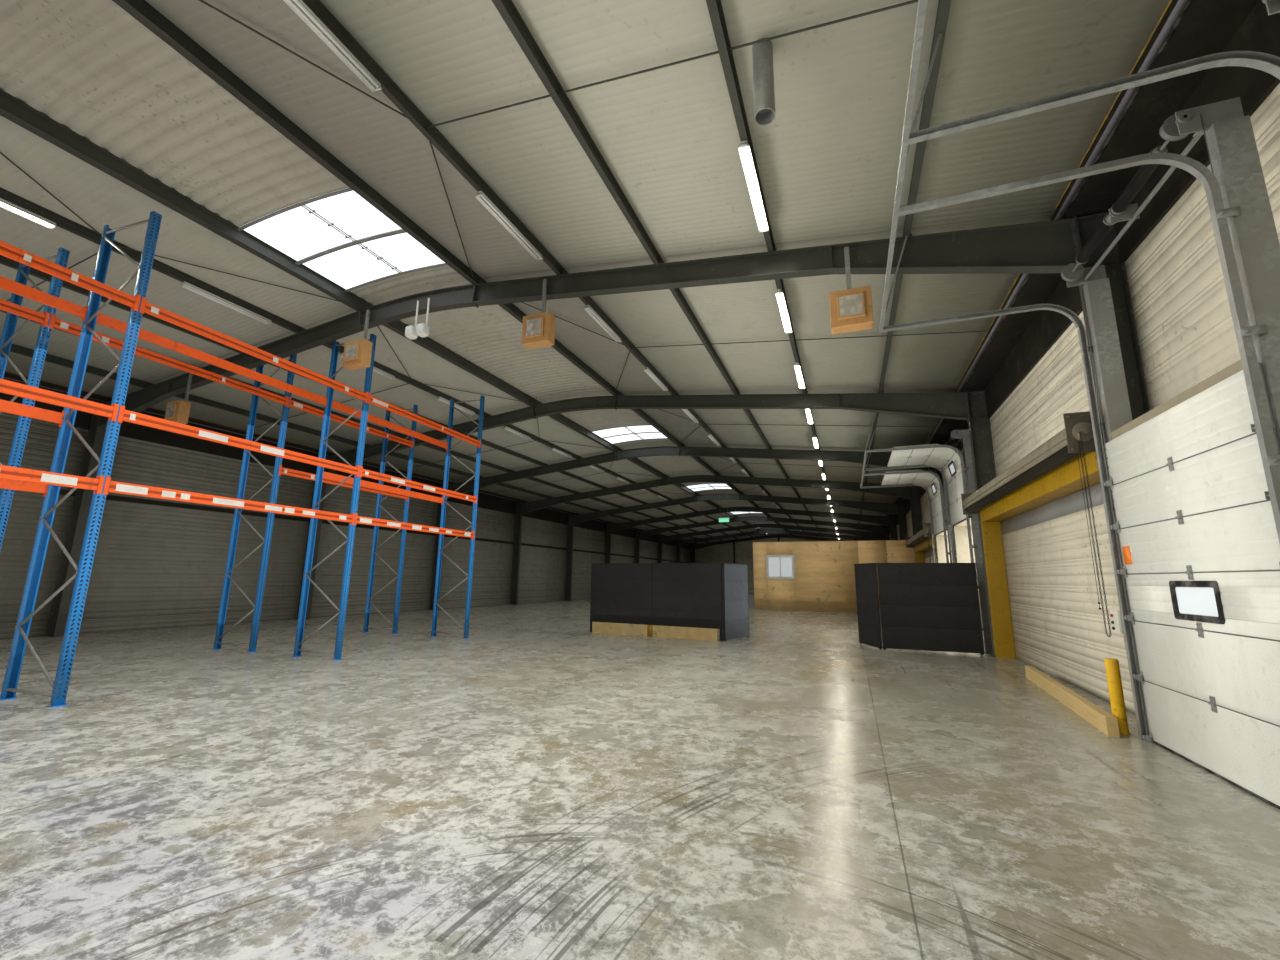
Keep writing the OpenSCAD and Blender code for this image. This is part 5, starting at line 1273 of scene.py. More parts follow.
def chain(points, link_r=0.0052, wire=0.0013, step=0.0125):
    """Links along a closed path at even steps: each a stretched ring, every second one turned a quarter."""
    p = np.asarray(points, float)
    gaps = np.linalg.norm(np.roll(p, -1, axis=0) - p, axis=1)
    s = np.r_[0, np.cumsum(gaps)]
    closed = np.concatenate([p, p[:1]])
    n = int(s[-1] / step) // 2 * 2
    t = np.linspace(0, s[-1], n, endpoint=False)
    at = np.column_stack([np.interp(t, s, closed[:, k]) for k in range(3)])
    way = unit(np.roll(at, -1, axis=0) - np.roll(at, 1, axis=0))
    side = unit(np.cross(way, X))
    flat = np.cross(way, side)
    odd = (np.arange(n) % 2 == 1)[:, None]
    a = np.linspace(0, 2 * np.pi, 10, endpoint=False)
    path = np.column_stack([link_r * 0.72 * np.cos(a), link_r * 1.55 * np.sin(a), np.zeros(10)])
    link = tube(path, wire, 5, Z, ring=True)
    rows = np.stack([at, np.where(odd, flat, side), way, np.where(odd, side, flat)], axis=1)
    return copies(link, rows)


HOOD_X = (COLUMN_X - 0.1553, COLUMN_X - 0.0003)
HOOD_Z = SLAB + SHUTTER_H + 0.093
HOOD_H = 0.232
ROLL_AT = ((HOOD_X[0] + HOOD_X[1]) / 2 + 0.002, HOOD_Z + 0.08)
INFILL_TOP = SLAB + SHUTTER_H - 0.137
FRAME_INSET = 0.0445


def hood_skin():
    """Section of a roller box's cover: flat top, quarter-round nose and lip, and the same 3.5 mm inside."""
    x0, x1 = HOOD_X
    a = np.linspace(np.pi / 2, np.pi, 7)
    nose = np.column_stack([x0 + 0.038 + 0.032 * np.cos(a), HOOD_Z + 0.136 + 0.032 * np.sin(a)])
    lip = [(x0 + 0.006, HOOD_Z + 0.098), (x0 + 0.012, HOOD_Z + 0.092), (x0 + 0.012, HOOD_Z + 0.060)]
    outer = np.concatenate([[(x1, HOOD_Z + 0.168)], nose, lip])
    return np.concatenate([outer, (outer + [0.0035, -0.0035])[::-1]])


def roll_section():
    """Section of the rolled-up slats: radius 61.5 mm plus up to 4 mm on each of 18 slats."""
    slats = ribs(0, 2 * np.pi, 2 * np.pi / 18, [(0, 0), (0.12, 0.004), (0.23, 0.004)])
    return np.column_stack([ROLL_AT[0] + (0.0615 + slats[:-1, 1]) * np.cos(slats[:-1, 0]),
                            ROLL_AT[1] + (0.0615 + slats[:-1, 1]) * np.sin(slats[:-1, 0])])


def hand_chain(x, y):
    """A closed loop of links, two half circles joined by straight runs, and beside it a cord with two beads."""
    top, low = HOOD_Z + HOOD_H / 2, SLAB + 0.480
    b = np.linspace(0, np.pi, 9)
    loop = np.concatenate([
        np.column_stack([np.full(9, x), y + 0.024 * np.cos(b), low + 0.024 - 0.024 * np.sin(b)]),
        np.column_stack([np.full(9, x), y - 0.019 * np.cos(b), top - 0.030 + 0.019 * np.sin(b)]),
    ])
    cord_y, cord_z = y + 0.06, SLAB + 0.62
    bead = lathe([(0.001, -0.006), (0.0055, -0.003), (0.006, 0), (0.0055, 0.003), (0.001, 0.006)], 10)
    return [chain(loop, step=bpy.context.scene.hall_sizes.link_step),
            rod([x, cord_y, cord_z], [x, cord_y, HOOD_Z + 0.02], 0.0013, 6),
            copies(bead, places([(x, cord_y, cord_z), (x, cord_y, cord_z + 0.03)]))]


def hood_gear(end, x, y):
    """Bearing with four bolts on a roller box's end plate, and the chain's pulley."""
    mid = HOOD_Z + HOOD_H / 2
    hub = lathe([(0.055, 0), (0.055, 0.010), (0.040, 0.016), (0.020, 0.018), (0.020, 0.026), (0.012, 0.028)],
                28)
    corners = [(ROLL_AT[0] + sx * 0.062, end, mid + sz * 0.095) for sx in (-1, 1) for sz in (-1, 1)]
    pulley = lathe([(0.006, -0.006), (0.021, -0.006), (0.017, 0.0), (0.021, 0.006), (0.006, 0.006)], 20)
    return [copies(hub, places([(ROLL_AT[0], end, mid)], *ALONG_Y)),
            copies(bolt(0.006), axis_places(corners, -Y)),
            copies(pulley, places([(x, y, mid - 0.030)], x=Y, y=Z, z=X))]


def make_shutters():
    """Roller boxes, chain hoists and the ribbed sheets behind the yellow frames."""
    hoods, plates, rolls, chains, sheets, gears, seals = [], [], [], [], [], [], []
    x0, x1 = HOOD_X
    face = rounded(x1 - x0, HOOD_H, 0.004) + [(x0 + x1) / 2, HOOD_Z + HOOD_H / 2]
    outline = wall_outline(SLAB, INFILL_TOP, INNER_X - 0.022, INNER_X + 0.018)
    for i in SHUTTER_BAYS:
        y0, y1 = FRAMES[i] + 0.0565, FRAMES[i + 1] - 0.0365
        hoods.append(along_y(hood_skin(), y0, y1))
        hoods.append(boxes([(x0 + 0.003, x0 + 0.011, y0, y1, HOOD_Z + 0.054, HOOD_Z + 0.064)]))
        rolls.append(along_y(roll_section(), y0 + 0.006, y1 - 0.006))
        plates += [along_y(face, y - 0.005, y + 0.005) for y in (y0, y1)]
        chain_at = (ROLL_AT[0] - 0.030, FRAMES[i] + 0.0265)
        gears += hood_gear(y0 - 0.005, *chain_at)
        chains += hand_chain(*chain_at)
        ends = (FRAMES[i] + FRAME_INSET, FRAMES[i + 1] - FRAME_INSET)
        sheets.append(along_y(outline, *ends))
        seals.append(boxes([(INNER_X - 0.024, INNER_X + 0.018, *ends, INFILL_TOP, SLAB + SHUTTER_H - 0.002)]))
    # The rolled slats are near-black: painted shade under the hood
    build("roller_hoods", [(stack(*hoods), "hood_paint"), (stack(*plates), "plate_paint"),
                           (stack(*rolls), "band_paint")],
          ["shutter_boxes"], smooth=30)
    build("hand_chains", [(stack(*chains), "black_paint"), (stack(*gears), "hood_paint")],
          ["chain_hoists"], smooth=35)
    # The infill sheets take the darker copy of the cream sheet: painted shade
    build("shutter_infill_sheets", [(stack(*sheets), "infill_sheet"), (stack(*seals), "zinc")],
          ["infill_panels"])
    dress("chipped_yellow", "shutter_frames")


BOARD_T = 0.009
BOARD_GAP = 0.0015
BOARD_JOINTS = [3.93, 4.58]
# The room window's left edge and sill from the room's corner and the floor, its width and height
ROOM_WINDOW = [0.365, 0.815, 0.665, 0.565]


def make_room():
    """Boarded room: boards with joints, studs, a capping batten and the window."""
    low, high = (np.array(v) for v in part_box("room_boards"))
    x0, y0, top = low[0], low[1], high[2]
    t = BOARD_T
    w0, wz0 = x0 + ROOM_WINDOW[0], SLAB + ROOM_WINDOW[1]
    w1, wz1 = w0 + ROOM_WINDOW[2], wz0 + ROOM_WINDOW[3]
    joints = [x0, *BOARD_JOINTS, INNER_X - 0.001]
    g = BOARD_GAP
    rows = [
        (joints[0], w0, y0, y0 + t, SLAB, top), (w1, joints[1] - g, y0, y0 + t, SLAB, top),
        (w0, w1, y0, y0 + t, SLAB, wz0), (w0, w1, y0, y0 + t, wz1, top),
        (joints[1] + g, joints[2] - g, y0, y0 + t, SLAB, top),
        (joints[2] + g, joints[3], y0, y0 + t, SLAB, top),
    ]
    sides = np.linspace(y0 + t, high[1], 6)
    rows += [(x0, x0 + t, a + g, b - g, SLAB, top) for a, b in zip(sides[:-1], sides[1:])]
    cap = boxes([(x0 - 0.004, INNER_X - 0.001, y0 - 0.004, y0 + t + 0.02, top - 0.004, top + 0.006)])
    screws = [(x, y0, z) for x in np.arange(x0 + 0.03, INNER_X - 0.05, 0.305)
              for z in np.arange(SLAB + 0.1, top, 0.2)
              if not (w0 - 0.03 < x < w1 + 0.03 and wz0 - 0.03 < z < wz1 + 0.03)]
    heads = copies(lathe([(0.004, 0), (0.0025, 0.0012)], 8), axis_places(screws, -Y))
    build("room_plywood", [(boxes(rows), "plywood"), (cap, "sawn_timber"), (heads, "bolt_zinc")],
          ["room_boards"])
    dress("stud_timber", "room_studs")
    dress("white_enamel", "room_window_frame")
    trim = []
    for a, b, z, k in ((w0 - 0.03, w1 + 0.03, wz0 - 0.03, 0.03), (w0 - 0.03, w1 + 0.03, wz1, 0.03)):
        trim.append((a, b, y0 - 0.010, y0, z, z + k))
    trim += [(w0 - 0.03, w0, y0 - 0.010, y0, wz0, wz1), (w1, w1 + 0.03, y0 - 0.010, y0, wz0, wz1)]
    trim.append(((w0 + w1) / 2 - 0.012, (w0 + w1) / 2 + 0.012, y0 - 0.006, y0 + t + 0.014, wz0 + 0.034,
                 wz1 - 0.034))
    build("room_window_trim", [(boxes(trim), "white_enamel")], bevel=0.0015)


def lamp_shape():
    """Strip light under z = 0: batten, folded reflector, end caps; returned with its two tubes."""
    half = 0.375
    batten = prism([(-0.014, 0), (0.014, 0), (0.016, -0.004), (0.016, -0.016), (-0.016, -0.016),
                    (-0.016, -0.004)], -Y * half, Y * half, X, Z)
    wing = np.array([(-0.016, -0.015), (-0.031, -0.034), (-0.032, -0.038), (-0.030, -0.038), (-0.029, -0.034),
                     (-0.013, -0.017), (0.013, -0.017), (0.029, -0.034), (0.030, -0.038), (0.032, -0.038),
                     (0.031, -0.034), (0.016, -0.015)])
    reflector = prism(wing, -Y * half, Y * half, X, Z)
    caps = [prism([(-0.031, -0.036), (0.031, -0.036), (0.016, -0.012), (-0.016, -0.012)], Y * (s * half),
                  Y * s * (half - 0.006), X, Z) for s in (-1, 1)]
    tubes = [rod([x, -half + 0.012, -0.030], [x, half - 0.012, -0.030], 0.0075, 10, Z) for x in (-0.014, 0.014)]
    return stack(batten, reflector, *caps), stack(*tubes)


def make_lamps():
    """Strip lights on both slopes, two a bay; one row and one single lamp are lit."""
    body, tubes = lamp_shape()
    ys = np.array([y + part * BAY for y in FRAMES[:-1] for part in (0.276, 0.776)])
    axes = (DOWN_SLOPE, Y, OFF_SLOPE)
    lit = places([slope_point(3 * PURLIN_STEP) + Y * y for y in ys], *axes)
    off = places([slope_point(PURLIN_STEP) + Y * y for y in ys], *axes)
    left = off.copy()
    left[:, :, 0] *= -1
    left[:, 1] *= -1
    lit = np.concatenate([lit, left[2:3]])
    off = np.concatenate([off, np.delete(left, 2, axis=0)])
    build("lit_lamps", [(copies(body, lit), "white_enamel"), (copies(tubes, lit), "lit_tube")],
          ["lit_strip_lights"])
    build("unlit_lamps", [(stack(copies(body, off), copies(tubes, off)), "white_enamel")],
          ["unlit_strip_lights"])


def square_loft(rows, radius):
    """Rounded squares joined one after another: each row gives half a side and the height."""
    return loft(np.stack([np.column_stack([rounded(2 * r, 2 * r, radius), np.full(20, d)]) for r, d in rows]))


def make_heaters():
    """Heater housings with foil panels, the twin lamp, the flue and the sign.

    Housings and rims are rounded squares that change size with depth. The foil lies at 0.125 and bulges by
    0.0015 times the sine of 130 u + x times the cosine of 110 v.
    """
    y = FRAMES[2] - 0.058
    bodies, foils, rims = [], [], []
    for x in INNER_X * np.array(HEATER_X):
        z = rafter_top(x) - 0.530
        at = places([[x, y, z]], *ALONG_Y)
        case = [(0.119, 0.0), (0.125, 0.004), (0.125, 0.100), (0.121, 0.104), (0.108, 0.104)]
        rim = [(0.074, 0.104), (0.082, 0.106), (0.082, 0.120), (0.078, 0.124), (0.068, 0.124)]
        bodies.append(copies(square_loft(case, 0.008), at))
        rims.append(copies(square_loft(rim, 0.005), at))
        grid = np.linspace(-0.068, 0.068, 9)
        u, v = np.meshgrid(grid, grid, indexing="ij")
        bulge = 0.125 + 0.0015 * np.sin(u * 130 + x) * np.cos(v * 110)
        foils.append(copies(loft(np.stack([u, v, bulge], axis=-1), closed=False, caps=False), at))
    build("heater_housings", [(stack(*bodies, *rims), "heater_board"), (stack(*foils), "foil")],
          ["heaters"], smooth=30)
    dress("zinc", "ceiling_hangers", "flue")
    dress("sign_glow", "exit_sign")
    make_twin_lamp()


def make_twin_lamp():
    """Two lamp heads with rounded shells on rods."""
    low, high = (np.array(v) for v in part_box("twin_lamp"))
    parts, faces = [], []
    y = low[1] + 0.05
    for x in (0.060, 0.190):
        parts.append(rod([x, y, low[2] + 0.07], [x, y, high[2]], 0.009, 16))
        shell = [(0.03, 0), (0.04, 0.012), (0.043, 0.03), (0.043, 0.085), (0.039, 0.1)]
        parts.append(copies(square_loft(shell, 0.012), places([(x, y - 0.04, low[2] + 0.01)])))
        faces.append(copies(lathe([(0.034, 0), (0.036, 0.004), (0.03, 0.012), (0.012, 0.014)], 20),
                            axis_places([(x, y - 0.045, low[2] + 0.055)], -Y)))
        parts.append(boxes([(x - 0.012, x + 0.012, y - 0.012, y + 0.012, low[2] + 0.1, low[2] + 0.13)]))
    build("twin_lamp_heads", [(stack(*parts), "white_enamel"), (stack(*faces), "foil")],
          ["twin_lamp"], smooth=35)


def make_fittings():
    """Guard post, control box and kerb."""
    post = lathe([(0.0355, 0), (0.0355, 0.005), (0.0345, 0.006), (0.0305, 0.006), (0.0285, 0.008),
                  (0.0285, 0.356), (0.0268, 0.3615), (0.0225, 0.3645), (0.004, 0.365)], 32)
    at = places([(COLUMN_X - 0.095, FRAMES[2] + 0.070, SLAB)])
    build("guard_post_tube", [(copies(post, at), "post_yellow")], ["guard_post"], smooth=30)
    low, high = (np.array(v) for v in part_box("door_control_box"))
    case = prism(rounded(0.09, 0.115, 0.008), [low[0] + 0.004, 0, 0], [low[0] + 0.042, 0, 0], Y, Z)
    lid = prism(rounded(0.084, 0.109, 0.007), [low[0], 0, 0], [low[0] + 0.005, 0, 0], Y, Z)
    mid = (low + high) / 2
    case = copies(stack(case, lid), places([(0, mid[1], mid[2])]))
    arm = boxes([(low[0] + 0.040, high[0], mid[1] - 0.033, mid[1] + 0.007, mid[2] - 0.028, mid[2] + 0.032)])
    button = lathe([(0.008, 0), (0.008, 0.006), (0.006, 0.008), (0.002, 0.008)], 16)
    red = copies(button, axis_places([(low[0], mid[1] + 0.02, mid[2] + 0.03)], -X))
    dark = copies(button, axis_places([(low[0], mid[1] + 0.02, mid[2] - 0.005),
                                       (low[0], mid[1] + 0.02, mid[2] - 0.035)],
                                      -X))
    build("control_box_case", [(stack(case, arm), "box_cream"), (red, "red_plastic"), (dark, "black_rubber")],
          ["door_control_box"], smooth=30)
    dress("kerb_timber", "timber_kerbs")


def rack_places(row, points):
    """Places turned with a rack: points are in the rack's own x across, y along and z up."""
    c, w = math.cos(RACK_TURN), math.sin(RACK_TURN)
    p = np.asarray(points, float)
    at = np.column_stack([RACK_ROWS[row] + c * p[:, 0] - w * p[:, 1], RACK_Y + w * p[:, 0] + c * p[:, 1],
                          SLAB + p[:, 2]])
    return places(at, [c, w, 0], [-w, c, 0], Z)


def beam_shape():
    """Rack beam with a folded groove, hooked plates and rivets, and apart a dark strip of painted shade for the
    groove; its top is at z = 0, its face at x = 0.
    """
    t, h = 0.025, 0.070
    outline = [(0, -0.002), (0, -0.024), (-0.004, -0.028), (-0.004, -0.044), (0, -0.048), (0, -h + 0.002),
               (-0.002, -h), (-t + 0.002, -h), (-t, -h + 0.002), (-t, -0.002), (-t + 0.002, 0), (-0.002, 0)]
    y0 = POST_W / 2 + 0.0003
    y1 = RACK_PITCH - y0
    bar = along_y(outline, y0 + 0.003, y1 - 0.003)
    plates = boxes([(-0.003, 0.0005, y0 - 0.021, y0 + 0.003, -0.090, 0.020),
                    (-t, 0.0005, y0, y0 + 0.003, -0.090, 0.020),
                    (-0.003, 0.0005, y1 - 0.003, y1 + 0.021, -0.090, 0.020),
                    (-t, 0.0005, y1 - 0.003, y1, -0.090, 0.020)])
    rivets = [(0.0005, y + d, z) for y, d in ((y0, -0.011), (y1, 0.011)) for z in (-0.075, -0.035, 0.008)]
    heads = copies(lathe([(0.004, 0), (0.0028, 0.002)], 8), axis_places(rivets, X))
    # Dark strip in the folded groove: painted shade in the recess
    groove = boxes([(-0.0039, -0.0030, y0 + 0.003, y1 - 0.003, -0.0435, -0.0285)])
    return stack(bar, plates, heads), groove


def rack_frame(odd):
    """One rack frame about its front post: two folded posts, their feet and the braces between them."""
    half, deep = POST_W / 2, POST_D / 2
    outline = [(-deep, -half), (deep - 0.002, -half), (deep, 0.002 - half), (deep, -0.004),
               (deep - 0.0012, -0.003), (deep - 0.0012, 0.003), (deep, 0.004), (deep, half - 0.002),
               (deep - 0.002, half), (-deep, half),
               (-deep, half - 0.010), (0.0025 - deep, half - 0.010), (0.0025 - deep, half - 0.0025),
               (deep - 0.0030, half - 0.0025), (deep - 0.0030, 0.0025 - half), (0.0025 - deep, 0.0025 - half),
               (0.0025 - deep, 0.010 - half), (-deep, 0.010 - half)]
    post = prism(outline, Z * 0.004, Z * RACK_H, X, Y)
    foot = prism(rounded(POST_D + 0.024, POST_W + 0.024, 0.004), Z * 0.0, Z * 0.004, X, Y)
    front = stack(post, foot)
    back, faces = mirrored(front)
    posts = stack(front, (back - [RACK_D, 0, 0], faces))
    channel = np.array([(-0.008, 0), (0.008, 0), (0.008, 0.008), (0.0065, 0.008), (0.0065, 0.0015),
                        (-0.0065, 0.0015), (-0.0065, 0.008), (-0.008, 0.008)])
    nodes = brace_nodes(odd)
    bars = []
    for p, q in list(zip(nodes[:-1], nodes[1:])) + [((-RACK_D, 0.060), (0, 0.060)),
                                                   ((-RACK_D, RACK_H - 0.060), (0, RACK_H - 0.060))]:
        a, b = np.array([p[0], -0.0235, p[1]]), np.array([q[0], -0.0235, q[1]])
        bars.append(prism(channel, a, b, np.cross(Y, unit(b - a)), Y))
    return posts, stack(*bars)


def brace_nodes(odd):
    """Points (x, z) where the diagonals meet the posts, from the floor up."""
    rise = (RACK_H - 0.18) / 9
    return [(-0.004 if (n + odd) % 2 else 0.004 - RACK_D, 0.09 + n * rise) for n in range(10)]


def sideways(rows):
    """Places turned so that their third axis points along the old second one, backwards."""
    return np.stack([rows[:, 0], rows[:, 1], rows[:, 3], -rows[:, 2]], axis=1)


def post_holes(row, y):
    """Slots on the front and back of a frame's posts and round holes in their sides, every 25 mm up: thin dark
    patches on the faces, painted shade inside the holes.
    """
    z = np.arange(0.05, RACK_H - 0.02, 0.0250)

    def column(x, across):
        return np.column_stack([np.full(len(z), x), np.full(len(z), across), z])

    outline = np.array([(-0.0064, -0.0066), (-0.0018, -0.0080), (0.0052, -0.0010), (0.0064, 0.0066),
                        (0.0018, 0.0080), (-0.0052, 0.0010)])
    right, left = (prism(outline * [side, 1], X * -0.0004, X * 0.0003, Y, Z) for side in (1, -1))
    round_hole = lathe([(0.0030, -0.0004), (0.0030, 0.0003)], 8)
    back = rack_places(row, np.concatenate([column(-RACK_D - POST_D / 2, y + d) for d in (-0.0135, 0.0135)]))
    back[:, 1] *= -1
    sides = rack_places(row, np.concatenate([column(x, y - POST_W / 2) for x in (0.006, -RACK_D - 0.006)]))
    return [copies(right, rack_places(row, column(POST_D / 2, y - 0.0135))),
            copies(left, rack_places(row, column(POST_D / 2, y + 0.0135))),
            copies(right, back), copies(round_hole, sideways(sides))]


def beam_labels(rng, row, k, level, top):
    """Blank labels along a front beam: length, height and gap are drawn one after another."""
    paper = boxes([(0.0004, 0.0012, 0, 1, -0.5, 0.5)])
    sizes = [0.030, 0.045, 0.110, 0.200]
    labels, start = [], 0.06
    while start < RACK_PITCH - 0.12:
        w = rng.choice(sizes, p=[0.3, 0.3, 0.2, 0.2]) if level else rng.uniform(0.05, 0.24)
        w = min(w, RACK_PITCH - 0.05 - start)
        place = rack_places(row, [(BEAM_FACE, k * RACK_PITCH + start, top - 0.036)])
        place[:, 2] *= w
        place[:, 3] *= rng.uniform(0.034, 0.046)
        labels.append(copies(paper, place))
        start += w + (rng.uniform(0.02, 0.30) if level == 0 and row == 0 else rng.uniform(0.15, 0.9))
    return labels


def make_racks():
    """Perforated rack posts with braces and holes drawn as painted shade, folded beams with painted shade in
    their groove and blank labels, bolts.
    """
    frames = [rack_frame(odd) for odd in (0, 1)]
    posts, braces, holes, heads, beams, groove_shades, labels = [], [], [], [], [], [], []
    beam, groove = beam_shape()
    rng = np.random.default_rng(7)
    for row in (0, 1):
        for k in (-2, -1, 0, 1):
            y = k * RACK_PITCH
            at = rack_places(row, [(0, y, 0)])
            posts.append(copies(frames[k % 2][0], at))
            braces.append(copies(frames[k % 2][1], at))
            holes += post_holes(row, y)
            ends = rack_places(row, [(x, y - POST_W / 2, h) for x, h in brace_nodes(k % 2)])
            heads.append(copies(bolt(0.006), sideways(ends)))
            feet = rack_places(row, [(x, y + d, 0.004) for x in (0, -RACK_D) for d in (-0.031, 0.031)])
            heads.append(copies(bolt(0.007), feet))
        for k, level in FRONT_BEAMS[row]:
            top = RACK_LEVELS[level] + RACK_RISE[row]
            at = rack_places(row, [(BEAM_FACE, k * RACK_PITCH, top)])
            beams.append(copies(beam, at))
            groove_shades.append(copies(groove, at))
            labels += beam_labels(rng, row, k, level, top)
        for k, level in REAR_BEAMS[row]:
            at = rack_places(row, [(-RACK_D - BEAM_FACE, k * RACK_PITCH, RACK_LEVELS[level] + RACK_RISE[row])])
            at[:, 1] *= -1
            beams.append(copies(beam, at))
    build("rack_posts", [(stack(*posts), "rack_blue"), (stack(*braces), "zinc")], ["rack_frames"])
    # The holes are dark patches: painted shade seen through the posts' slots and holes
    build("rack_holes", [(stack(*holes), "black_rubber")])
    build("rack_bolts", [(stack(*heads), "bolt_zinc")])
    build("rack_beam_profiles", [(stack(*beams), "beam_orange"), (stack(*groove_shades), "beam_groove"),
                                 (stack(*labels), "paper_label")],
          ["rack_beams"], smooth=30)


def screen(long, rise):
    """Cloth ribbed on both faces, and its end posts, feet and top rail; a low screen stands on wheels."""
    step = (SCREEN_H - rise) / 4
    knots = [(0, 0.004), (0.006, 0.0008), (step - 0.02, 0.0002), (step - 0.006, 0.0012)]
    front = ribs(rise, SCREEN_H, step, knots, rise)
    back = front[::-1]
    outline = np.concatenate([np.column_stack([front[:, 1], front[:, 0]]),
                              np.column_stack([SCREEN_T - back[:, 1], back[:, 0]])])
    cloth = prism(outline, X * 0.012, X * (long - 0.012), Y, Z)
    low = 0.014 if rise < 0.05 else 0.0
    tyre = lathe([(0.003, -0.005), (0.009, -0.005), (0.010, -0.003), (0.010, 0.003), (0.009, 0.005),
                  (0.003, 0.005)], 16)
    post, foot = rounded(0.014, SCREEN_T, 0.004), rounded(0.038, SCREEN_T - 0.002, 0.006)
    bars = [prism(post + [a, SCREEN_T / 2], Z * rise, Z * SCREEN_H, X, Y) for a in (0.007, long - 0.007)]
    feet = (0.02, long - 0.02)
    bars += [prism(foot + [a, SCREEN_T / 2], Z * low, Z * rise, X, Y) for a in feet]
    bars.append(boxes([(0, long, -0.001, SCREEN_T + 0.001, SCREEN_H - 0.010, SCREEN_H)]))
    wheels = [copies(tyre, axis_places([(a, SCREEN_T / 2, 0.0102)], Y)) for a in feet if low]
    return cloth, bars, wheels


def make_screens():
    """Dark screens: ribbed cloth between end posts, on feet, and the yellow band on the plank on edge."""
    y = FRAMES[3]
    turn, wing, far = (math.radians(v) for v in (-7.2, 71, 114))
    end = np.array([2.180, y + 0.055, SLAB])
    right = np.array([3.990, y + 0.025, SLAB])
    ahead = np.array([math.cos(turn), math.sin(turn), 0])
    wing_side = np.array([-math.sin(wing), math.cos(wing), 0])
    rows = [
        (end - 0.990 * ahead, turn, 0.987, SILL_H), (end - 1.980 * ahead, turn, 0.987, SILL_H),
        (end + 0.003 * X - 0.033 * wing_side, wing, 0.610, 0.020),
        (right, 0.0, TRACK_X - 0.026 - 3.990, 0.020), (right - 0.003 * X, far, 0.510, 0.020),
    ]
    cloths, posts, tyres = [], [], []
    for origin, angle, long, rise in rows:
        x = np.array([math.cos(angle), math.sin(angle), 0])
        at = places([origin], x=x, y=np.cross(Z, x), z=Z)
        cloth, bars, wheels = screen(long, rise)
        cloths.append(copies(cloth, at))
        posts += [copies(bar, at) for bar in bars]
        tyres += [copies(wheel, at) for wheel in wheels]
    # The wing's cloth takes the lighter copy of the dark cloth: painted light
    lit_wing_cloth = cloths.pop(2)
    build("screen_panels", [(stack(*cloths), "dark_cloth"), (lit_wing_cloth, "screen_wing"),
                            (stack(*posts, *tyres), "black_paint")], ["dark_screens"],
          smooth=30)
    band = boxes([(-1.045, -0.965, -0.0248, 0.0008, 0.0, SILL_H + 0.0008)])
    build("sill_band", [(copies(band, places([end], x=ahead, y=np.cross(Z, ahead))), "chipped_yellow")])


# Camera, lamps and ground


CAMERA_AT = (3.6833, -14.4761, 0.85)
YAW, PITCH, ROLL = (math.radians(v) for v in (21.3789, 10.5861, 0.6658))
FOCAL = 14.856


def place_camera():
    """Looks along the hall, turned left and up: the axes are the solved right, up and back vectors."""
    ahead = np.array([-math.sin(YAW) * math.cos(PITCH), math.cos(YAW) * math.cos(PITCH), math.sin(PITCH)])
    over = np.array([math.sin(YAW) * math.sin(PITCH), -math.cos(YAW) * math.sin(PITCH), math.cos(PITCH)])
    right = np.cross(ahead, over)
    side = math.cos(ROLL) * right + math.sin(ROLL) * over
    up = math.cos(ROLL) * over - math.sin(ROLL) * right
    data = bpy.data.cameras.new("camera")
    data.sensor_width = 36.0
    data.lens = FOCAL
    data.clip_start = 0.02
    data.clip_end = 400
    camera = add_object("camera", data)
    turn = Matrix((side, up, -ahead)).transposed().to_4x4()
    camera.matrix_world = Matrix.Translation(CAMERA_AT) @ turn
    bpy.context.scene.camera = camera


def area_lamp(name, at, size, power, aim, tint, spread=180):
    """Soft lamp that the camera doesn't see; aim is the direction that it shines in, spread its full angle."""
    data = bpy.data.lights.new(name, "AREA")
    data.shape = "RECTANGLE"
    data.size, data.size_y = size
    data.energy = power
    data.color = tint
    data.spread = math.radians(spread)
    lamp = add_object(name, data)
    z = -unit(np.asarray(aim, float))
    x = unit(np.cross(Y if abs(z[1]) < 0.9 else Z, z))
    lamp.matrix_world = Matrix.Translation(at) @ Matrix((x, np.cross(z, x), z)).transposed().to_4x4()
    lamp.visible_camera = False
    lamp.visible_glossy = False


def make_world():
    """White sky to camera and mirror rays, a soft pale blue to the others."""
    world = bpy.data.worlds.new("world")
    bpy.context.scene.world = world
    world.use_nodes = True
    tree = world.node_tree
    back = tree.nodes["Background"]
    path = node(tree, "ShaderNodeLightPath").outputs
    seen = math_node(tree, "MAXIMUM", path["Is Camera Ray"], path["Is Glossy Ray"])
    seen = math_node(tree, "MAXIMUM", seen, path["Is Transmission Ray"])
    tone = mix(tree, seen, (0.86, 0.89, 0.93, 1), (1, 1, 1, 1))
    tree.links.new(tone, back.inputs["Color"])
    tree.links.new(between(tree, seen, 0.0, 1.0, 0.55, 1.0), back.inputs["Strength"])


UP = (0, 0, 1)
DOWN = (0, 0, -1)
PLAIN = (1, 1, 1)
WARM = (1.0, 0.985, 0.95)
